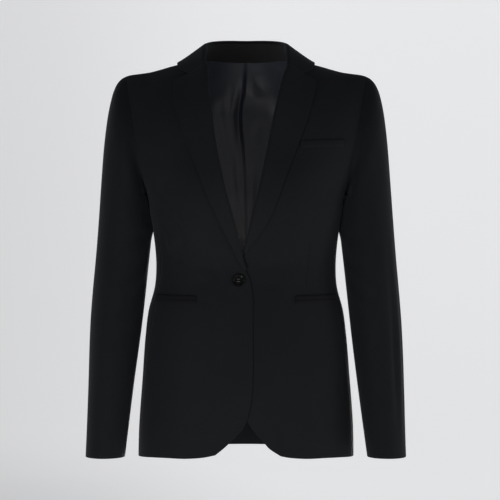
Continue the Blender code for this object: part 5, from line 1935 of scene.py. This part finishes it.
    def share_gorge(self, lapel: Panel, collar: Panel, row: int, inward: int) -> None:
        """Gives a lapel's top and a collar's end the same gorge line, one seam gap apart.

        Args:
            lapel: The lapel's grid.
            collar: The collar's grid.
            row: The collar's end row.
            inward: The row next to it.
        """
        joined = slice(0, self.roll_steps + 1 + self.knee_steps)
        line = (lapel.points[-1, joined] + collar.points[row, joined]) / 2
        facing = np.sign((lapel.normals[-1, joined] * collar.normals[row, joined]).sum())
        normals = unit(lapel.normals[-1, joined] * facing + collar.normals[row, joined])
        cut = unit(np.cross(np.gradient(line, axis=0), normals))
        cut = cut * np.sign((cut * (collar.points[inward, joined] - line)).sum())
        gap = self.pattern.cloth.seam_gap / 2
        lapel.points[-1, joined] = line - cut * gap
        collar.points[row, joined] = line + cut * gap
        lapel.normals[-1, joined] = normals * facing
        collar.normals[row, joined] = normals

    def build_wall(
        self, name: str, panel: Panel, finish: bpy.types.Material, free: bool = True
    ) -> None:
        """Makes a piece about its middle points, its first column trimmed unless it is free."""
        half, gap = self.pattern.cloth.thick / 2, self.pattern.cloth.seam_gap / 2
        wall = Wall(panel.points + panel.normals * half, panel.points - panel.normals * half)
        wall = trim(wall, gap, rows=(False, False), columns=(not free, False))
        Shell(name, wall).build(finish)

    def build(self) -> None:
        """Makes the lapels, the collar and its stand."""
        fall, stand = self.collar_grids()
        for side, row, inward in ((Side.RIGHT, 0, 1), (Side.LEFT, -1, -2)):
            lapel = self.lapel_grid(side)
            self.share_gorge(lapel, fall, row, inward)
            self.build_wall(side.name_of("lapel"), lapel, self.wardrobe.cloth, free=False)
        self.build_wall("collar", fall, self.wardrobe.cloth)
        self.build_wall("collar_stand", stand, self.wardrobe.stand)


@dataclass
class Pockets(Part):
    """The lips of the hip pockets and the breast welt."""

    slit: Table = ((0.08, -0.3905), (0.1475, -0.3895))
    lip_high: float = 0.006
    welt_top: Table = ((0.088, -0.135), (0.158, -0.1315))
    welt_high: float = 0.0115
    # a band's thickness at its edges and how much it rises between, of the cloth's lip
    crown: tuple[float, float] = (0.7, 0.3)
    rounding: float = 0.0005
    steps: int = 42
    across: int = 6

    def band(
        self, name: str, side: Side, line: Table, low: float, high: float, finish: bpy.types.Material
    ) -> None:
        """Makes a flat band on a front.

        Args:
            name: The node that it stands for.
            side: Which front.
            line: x, z of its two ends.
            low: Height of its lower edge over that line.
            high: Height of its upper edge over that line.
            finish: Its cloth.
        """
        cloth = self.pattern.cloth
        share = np.linspace(0, 1, self.steps + 1)[:, None]
        rise = np.linspace(0, 1, self.across + 1)[None, :]
        x = line[0][0] * (1 - share) + line[1][0] * share + 0 * rise
        z = line[0][1] * (1 - share) + line[1][1] * share + low + (high - low) * rise
        points, normals = self.pattern.front_surface(side, side.sign * x, z)
        inner = points + normals * cloth.rest_gap
        edge, swell = self.crown
        crown = cloth.lip * (edge + swell * np.sin(math.pi * rise))
        wall = Wall(inner + normals * crown[..., None], inner)
        Shell(name, wall, rounding=self.rounding).build(finish)

    def build(self) -> None:
        """Makes the four lips and the welt."""
        # the lips wear the crosswise cloth with its painted shade
        gap, lip = self.pattern.cloth.seam_gap / 2, self.wardrobe.crosswise_shaded
        for side in Side:
            self.band(side.name_of("hip_lip_upper"), side, self.slit, gap, self.lip_high, lip)
            self.band(side.name_of("hip_lip_lower"), side, self.slit, -self.lip_high, -gap, lip)
        self.band("chest_welt", Side.LEFT, self.welt_top, -self.welt_high, 0.0, self.wardrobe.cloth)


@dataclass
class Button(Part):
    """The four-hole button, its two stitches and the buttonhole under it."""

    at: tuple[float, float] = (-0.0118, -0.3593)
    radius: float = 0.01
    thick: float = 0.0036
    rest: float = 0.0005
    hole_at: float = 0.0019
    hole_radius: float = 0.0009
    thread_radius: float = 0.0005
    # share of the radius, share of the thickness, from the dish's middle round to the back
    profile: Table = (
        (0.0, 0.62), (0.4, 0.6), (0.64, 0.62), (0.7, 0.64), (0.76, 0.76), (0.81, 0.9), (0.86, 0.98),
        (0.905, 1.0), (0.95, 0.93), (0.985, 0.77), (1.0, 0.56), (0.985, 0.36), (0.93, 0.18),
        (0.82, 0.05), (0.7, 0.0), (0.0, 0.0),
    )
    turns: int = 72
    hole_segments: int = 28
    sharp: float = math.radians(35)
    # the stitches' bends: along the cloth, up, and where the first point of a bend is
    bend_along: float = 0.0005
    bend_up: float = 0.0006
    bend_from: float = 0.25
    # the buttonhole's ends from the button's middle, half its height, its edge and its rise
    hole_start: float = 0.003
    hole_stop: float = -0.014
    hole_half: float = 0.0007
    hole_thread: float = 0.00024
    hole_rise: float = 0.00005
    hole_points: int = 48

    def place(self) -> Matrix:
        """Finds where the button sits.

        Returns:
            The place, z running out of the cloth.
        """
        x, z = self.at
        point, normal = self.pattern.front_surface(Side.RIGHT, np.array([x]), np.array([z]))
        out = Vector(normal[0])
        across = Vector((0, 0, 1)).cross(out).normalized()
        turn = Matrix((across, out.cross(across), out)).transposed().to_4x4()
        return Matrix.Translation(Vector(point[0]) + out * self.rest) @ turn

    def disc(self) -> bpy.types.Mesh:
        """The button without its holes, turned about its own axis."""
        bm = spun([(x * self.radius, z * self.thick) for x, z in self.profile], self.turns, 1e-6)
        bmesh.ops.recalc_face_normals(bm, faces=bm.faces[:])
        return mesh_of(bm, "disc")

    def holes(self) -> bpy.types.Mesh:
        """Makes the four round cutters.

        Returns:
            Their mesh.
        """
        bm = bmesh.new()
        radii = {"radius1": self.hole_radius, "radius2": self.hole_radius}
        shape = {"cap_ends": True, "segments": self.hole_segments, "depth": self.thick * 3, **radii}
        for x in (-self.hole_at, self.hole_at):
            for y in (-self.hole_at, self.hole_at):
                at = Matrix.Translation((x, y, self.thick / 2))
                bmesh.ops.create_cone(bm, matrix=at, **shape)
        return mesh_of(bm, "holes")

    def build_button(self, place: Matrix) -> None:
        """Makes the button with its holes cut through.

        Args:
            place: Where it sits.
        """
        blank, cutter = placed("blank", self.disc()), placed("cutter", self.holes())
        cut = blank.modifiers.new("holes", "BOOLEAN")
        cut.object = cutter
        cut.solver = "EXACT"
        mesh = mesh_from(blank, self.wardrobe.button)
        mesh.transform(place)
        mesh.set_sharp_from_angle(angle=self.sharp)
        bpy.data.objects.remove(cutter)
        add_piece("dressed_button", mesh, ["button"])

    def tube(
        self, name: str, path: Sequence[Vector], radius: float, finish: bpy.types.Material, closed: bool
    ) -> bpy.types.Mesh:
        """A round thread along a path.

        Args:
            name: Name of the mesh.
            path: The points of its middle.
            radius: Its radius.
            finish: Its material.
            closed: Whether it ends where it starts.

        Returns:
            The mesh.
        """
        curve = bpy.data.curves.new(name, "CURVE")
        curve.dimensions = "3D"
        curve.bevel_depth = radius
        curve.bevel_resolution = 3
        curve.use_fill_caps = not closed
        spline = curve.splines.new("POLY")
        spline.points.add(len(path) - 1)
        spline.use_cyclic_u = closed
        for point, at in zip(spline.points, path):
            point.co = (*at, 1.0)
        return mesh_from(placed(name, curve), finish)

    def build_threads(self, place: Matrix) -> None:
        """Makes the two stitches, up through one hole, across and down through the other.

        Args:
            place: Where the button sits.
        """
        foot, reach, thread = self.thread_radius, self.hole_at, self.wardrobe.thread
        head = self.profile[0][1] * self.thick + self.thread_radius + self.pattern.cloth.seam_gap
        for name, y in (("button_thread_upper", reach), ("button_thread_lower", -reach)):
            path = [Vector((-reach, y, foot)), Vector((-reach, y, head - self.bend_up))]
            for angle in np.linspace(self.bend_from, 1, 4) * math.pi / 2:
                along = self.bend_along * (1 - math.cos(angle))
                path.append(Vector((along - reach, y, head + self.bend_up * (math.sin(angle) - 1))))
            path += [Vector((-p.x, p.y, p.z)) for p in path[::-1]]
            mesh = self.tube(name, [place @ p for p in path], self.thread_radius, thread, closed=False)
            add_piece(f"dressed_{name}", mesh, [name])

    def build_buttonhole(self) -> None:
        """Makes the worked edge of the buttonhole, most of it under the button."""
        angle = np.linspace(0, 2 * math.pi, self.hole_points, endpoint=False)
        end = np.where(np.cos(angle) > 0, self.hole_start, self.hole_stop)
        x = self.at[0] + end + self.hole_half * np.cos(angle)
        z = self.at[1] + self.hole_half * np.sin(angle)
        points, normals = self.pattern.front_surface(Side.RIGHT, x, z)
        ring = [Vector(p) for p in points + normals * self.hole_rise]
        edge = self.wardrobe.crosswise_shaded
        mesh = self.tube("buttonhole", ring, self.hole_thread, edge, closed=True)
        add_piece("buttonhole", mesh, [])

    def build(self) -> None:
        """Makes the button, its stitches and its hole."""
        place = self.place()
        self.build_button(place)
        self.build_threads(place)
        self.build_buttonhole()


@dataclass(frozen=True)
class Sheet:
    """The cut of a piece of cloth: its flat width, length and area, and how it is worn."""

    width: float
    length: float
    area: float
    held: str
    rests_on: tuple[str, ...] = ()
    carries: tuple[str, ...] = ()


RIGHT_LIPS = ("hip_lip_upper_right", "hip_lip_lower_right")
LEFT_BANDS = ("hip_lip_upper_left", "hip_lip_lower_left", "chest_welt")


@dataclass
class Cut:
    """The cut of every piece of cloth that shows, before it was sewn and worn."""

    single: tuple[tuple[str, Sheet], ...] = (
        ("front_right", Sheet(0.222, 0.745, 0.116, "draped", carries=RIGHT_LIPS)),
        ("front_left", Sheet(0.219, 0.754, 0.121, "draped", carries=LEFT_BANDS)),
        ("lapel_right", Sheet(0.066, 0.361, 0.0149, "folded", ("front_right",))),
        ("lapel_left", Sheet(0.069, 0.338, 0.0171, "folded", ("front_left",))),
        ("collar", Sheet(0.064, 0.421, 0.0228, "folded", ("collar_stand",))),
        ("collar_stand", Sheet(0.03, 0.351, 0.0065, "folded", ("back_right", "back_left"))),
    )
    paired: tuple[tuple[str, Sheet], ...] = (
        ("side_panel", Sheet(0.124, 0.467, 0.0471, "draped", ("front",))),
        ("back", Sheet(0.22, 0.72, 0.117, "draped", ("front",))),
        ("back_lining", Sheet(0.217, 0.709, 0.113, "hung", ("back",))),
        ("top_sleeve", Sheet(0.236, 0.636, 0.122, "hung", ("front",))),
        ("under_sleeve", Sheet(0.15, 0.477, 0.0455, "hung", ("top_sleeve",))),
    )

    def declare(self) -> None:
        """Builds the names of the paired pieces and of what they rest on, and keeps none of them."""
        for piece, sheet in self.paired:
            for side in Side:
                side.name_of(piece)
                [side.name_of(name) for name in sheet.rests_on]


@dataclass
class Studio:
    """A plain pale bowl to stand in, soft lights and the camera."""

    floor_z: float = -1.35
    floor_radius: float = 5.6
    wall_radius: float = 9.0
    wall_high: float = 4.2
    bend_steps: int = 12
    round_steps: int = 96
    # a face whose normal is less upright than this is taken as wall
    upright: float = 0.9
    camera_at: Triple = (0.0066, -3.5, -0.3104)
    lens: float = 151.8
    sensor: float = 36.0
    clip: tuple[float, float] = (0.05, 60.0)
    # name, place, width and height, power
    lamps: tuple[tuple[str, Triple, tuple[float, float], float], ...] = (
        ("high softbox", (0.0, -2.76, 1.99), (1.2, 1.2), 12.0),
        ("low softbox, left", (-0.9, -1.56, -0.92), (0.8, 0.5), 23.0),
        ("right softbox", (3.377, -1.95, -0.32), (1.0, 1.6), 30.0),
        ("right edge light", (3.885, -0.34, -0.32), (1.0, 1.6), 24.0),
        ("floor light, left", (-0.54, -0.77, -0.98), (0.5, 0.3), 1.7),
        ("floor light, front", (0.0, -0.94, -0.98), (0.5, 0.3), 2.8),
        ("floor light, right", (0.54, -0.77, -0.98), (0.5, 0.3), 1.2),
        ("floor light, far right", (0.91, -0.24, -0.98), (0.5, 0.3), 2.2),
        ("low softbox, back", (0.3, 1.8, -0.85), (0.9, 0.5), 24.0),
    )
    target: Triple = (0.0, 0.0, -0.32)
    sky: Colour = (0.8, 0.81, 0.83)
    sky_strength: float = 0.25

    def build_bowl(self) -> None:
        """Makes the floor and the wall round it as one curved sheet."""
        deep = self.wall_radius - self.floor_radius
        profile = [(0.0, self.floor_z), (self.floor_radius, self.floor_z)]
        for angle in np.linspace(0, math.pi / 2, self.bend_steps + 1)[1:]:
            out, up = deep * math.sin(angle), deep * (1 - math.cos(angle))
            profile.append((self.floor_radius + out, self.floor_z + up))
        profile.append((self.wall_radius, self.floor_z + self.wall_high))
        bm = spun(profile, self.round_steps, 1e-5)
        for face in bm.faces:
            is_wall = abs(face.normal.z) < self.upright
            away = face.normal.dot(face.calc_center_median()) > 0
            if face.normal.z < 0 or away and is_wall:
                face.normal_flip()
        mesh = mesh_of(bm, "backdrop")
        mesh.shade_smooth()
        mesh.materials.append(Paper().make())
        placed("backdrop", mesh)

    def build_lamps(self) -> None:
        """Hangs the soft lights, which are flagged off the backdrop, and lights the air."""
        lit = bpy.data.collections.new("lit by the lamps")
        for piece in bpy.context.scene.objects:
            if piece.type == "MESH" and piece.name != "backdrop":
                lit.objects.link(piece)
        for name, place, size, power in self.lamps:
            lamp = bpy.data.lights.new(name, "AREA")
            lamp.shape = "RECTANGLE"
            lamp.size, lamp.size_y = size
            lamp.energy = power
            holder = placed(name, lamp)
            holder.location = place
            aim = Vector(self.target) - Vector(place)
            holder.rotation_euler = aim.to_track_quat("-Z", "Y").to_euler()
            holder.visible_camera = False
            holder.light_linking.receiver_collection = lit
        world = bpy.data.worlds.new("studio air")
        world.use_nodes = True
        background = world.node_tree.nodes["Background"]
        background.inputs["Color"].default_value = (*self.sky, 1.0)
        background.inputs["Strength"].default_value = self.sky_strength
        bpy.context.scene.world = world
        bpy.context.scene.view_settings.view_transform = "Standard"

    def build_camera(self) -> None:
        """Sets the camera level with the middle of the blazer."""
        lens = bpy.data.cameras.new("camera")
        lens.lens = self.lens
        lens.sensor_width = self.sensor
        lens.clip_start, lens.clip_end = self.clip
        camera = placed("camera", lens)
        camera.location = self.camera_at
        camera.rotation_euler = (math.pi / 2, 0.0, 0.0)
        bpy.context.scene.camera = camera

    def build(self) -> None:
        """Makes the whole studio."""
        self.build_bowl()
        self.build_lamps()
        self.build_camera()


def main() -> None:
    """Builds the blazer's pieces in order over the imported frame, then the studio."""
    logging.basicConfig(level=logging.INFO, format="%(message)s", stream=sys.stdout)
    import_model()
    pattern = Pattern()
    wardrobe = Wardrobe.stocked()
    for part in (Body, BackLining, Sleeves, TurnedEdges, Pockets, Button):
        part(pattern, wardrobe).build()
    Cut().declare()
    Studio().build()


if __name__ == "__main__":
    main()
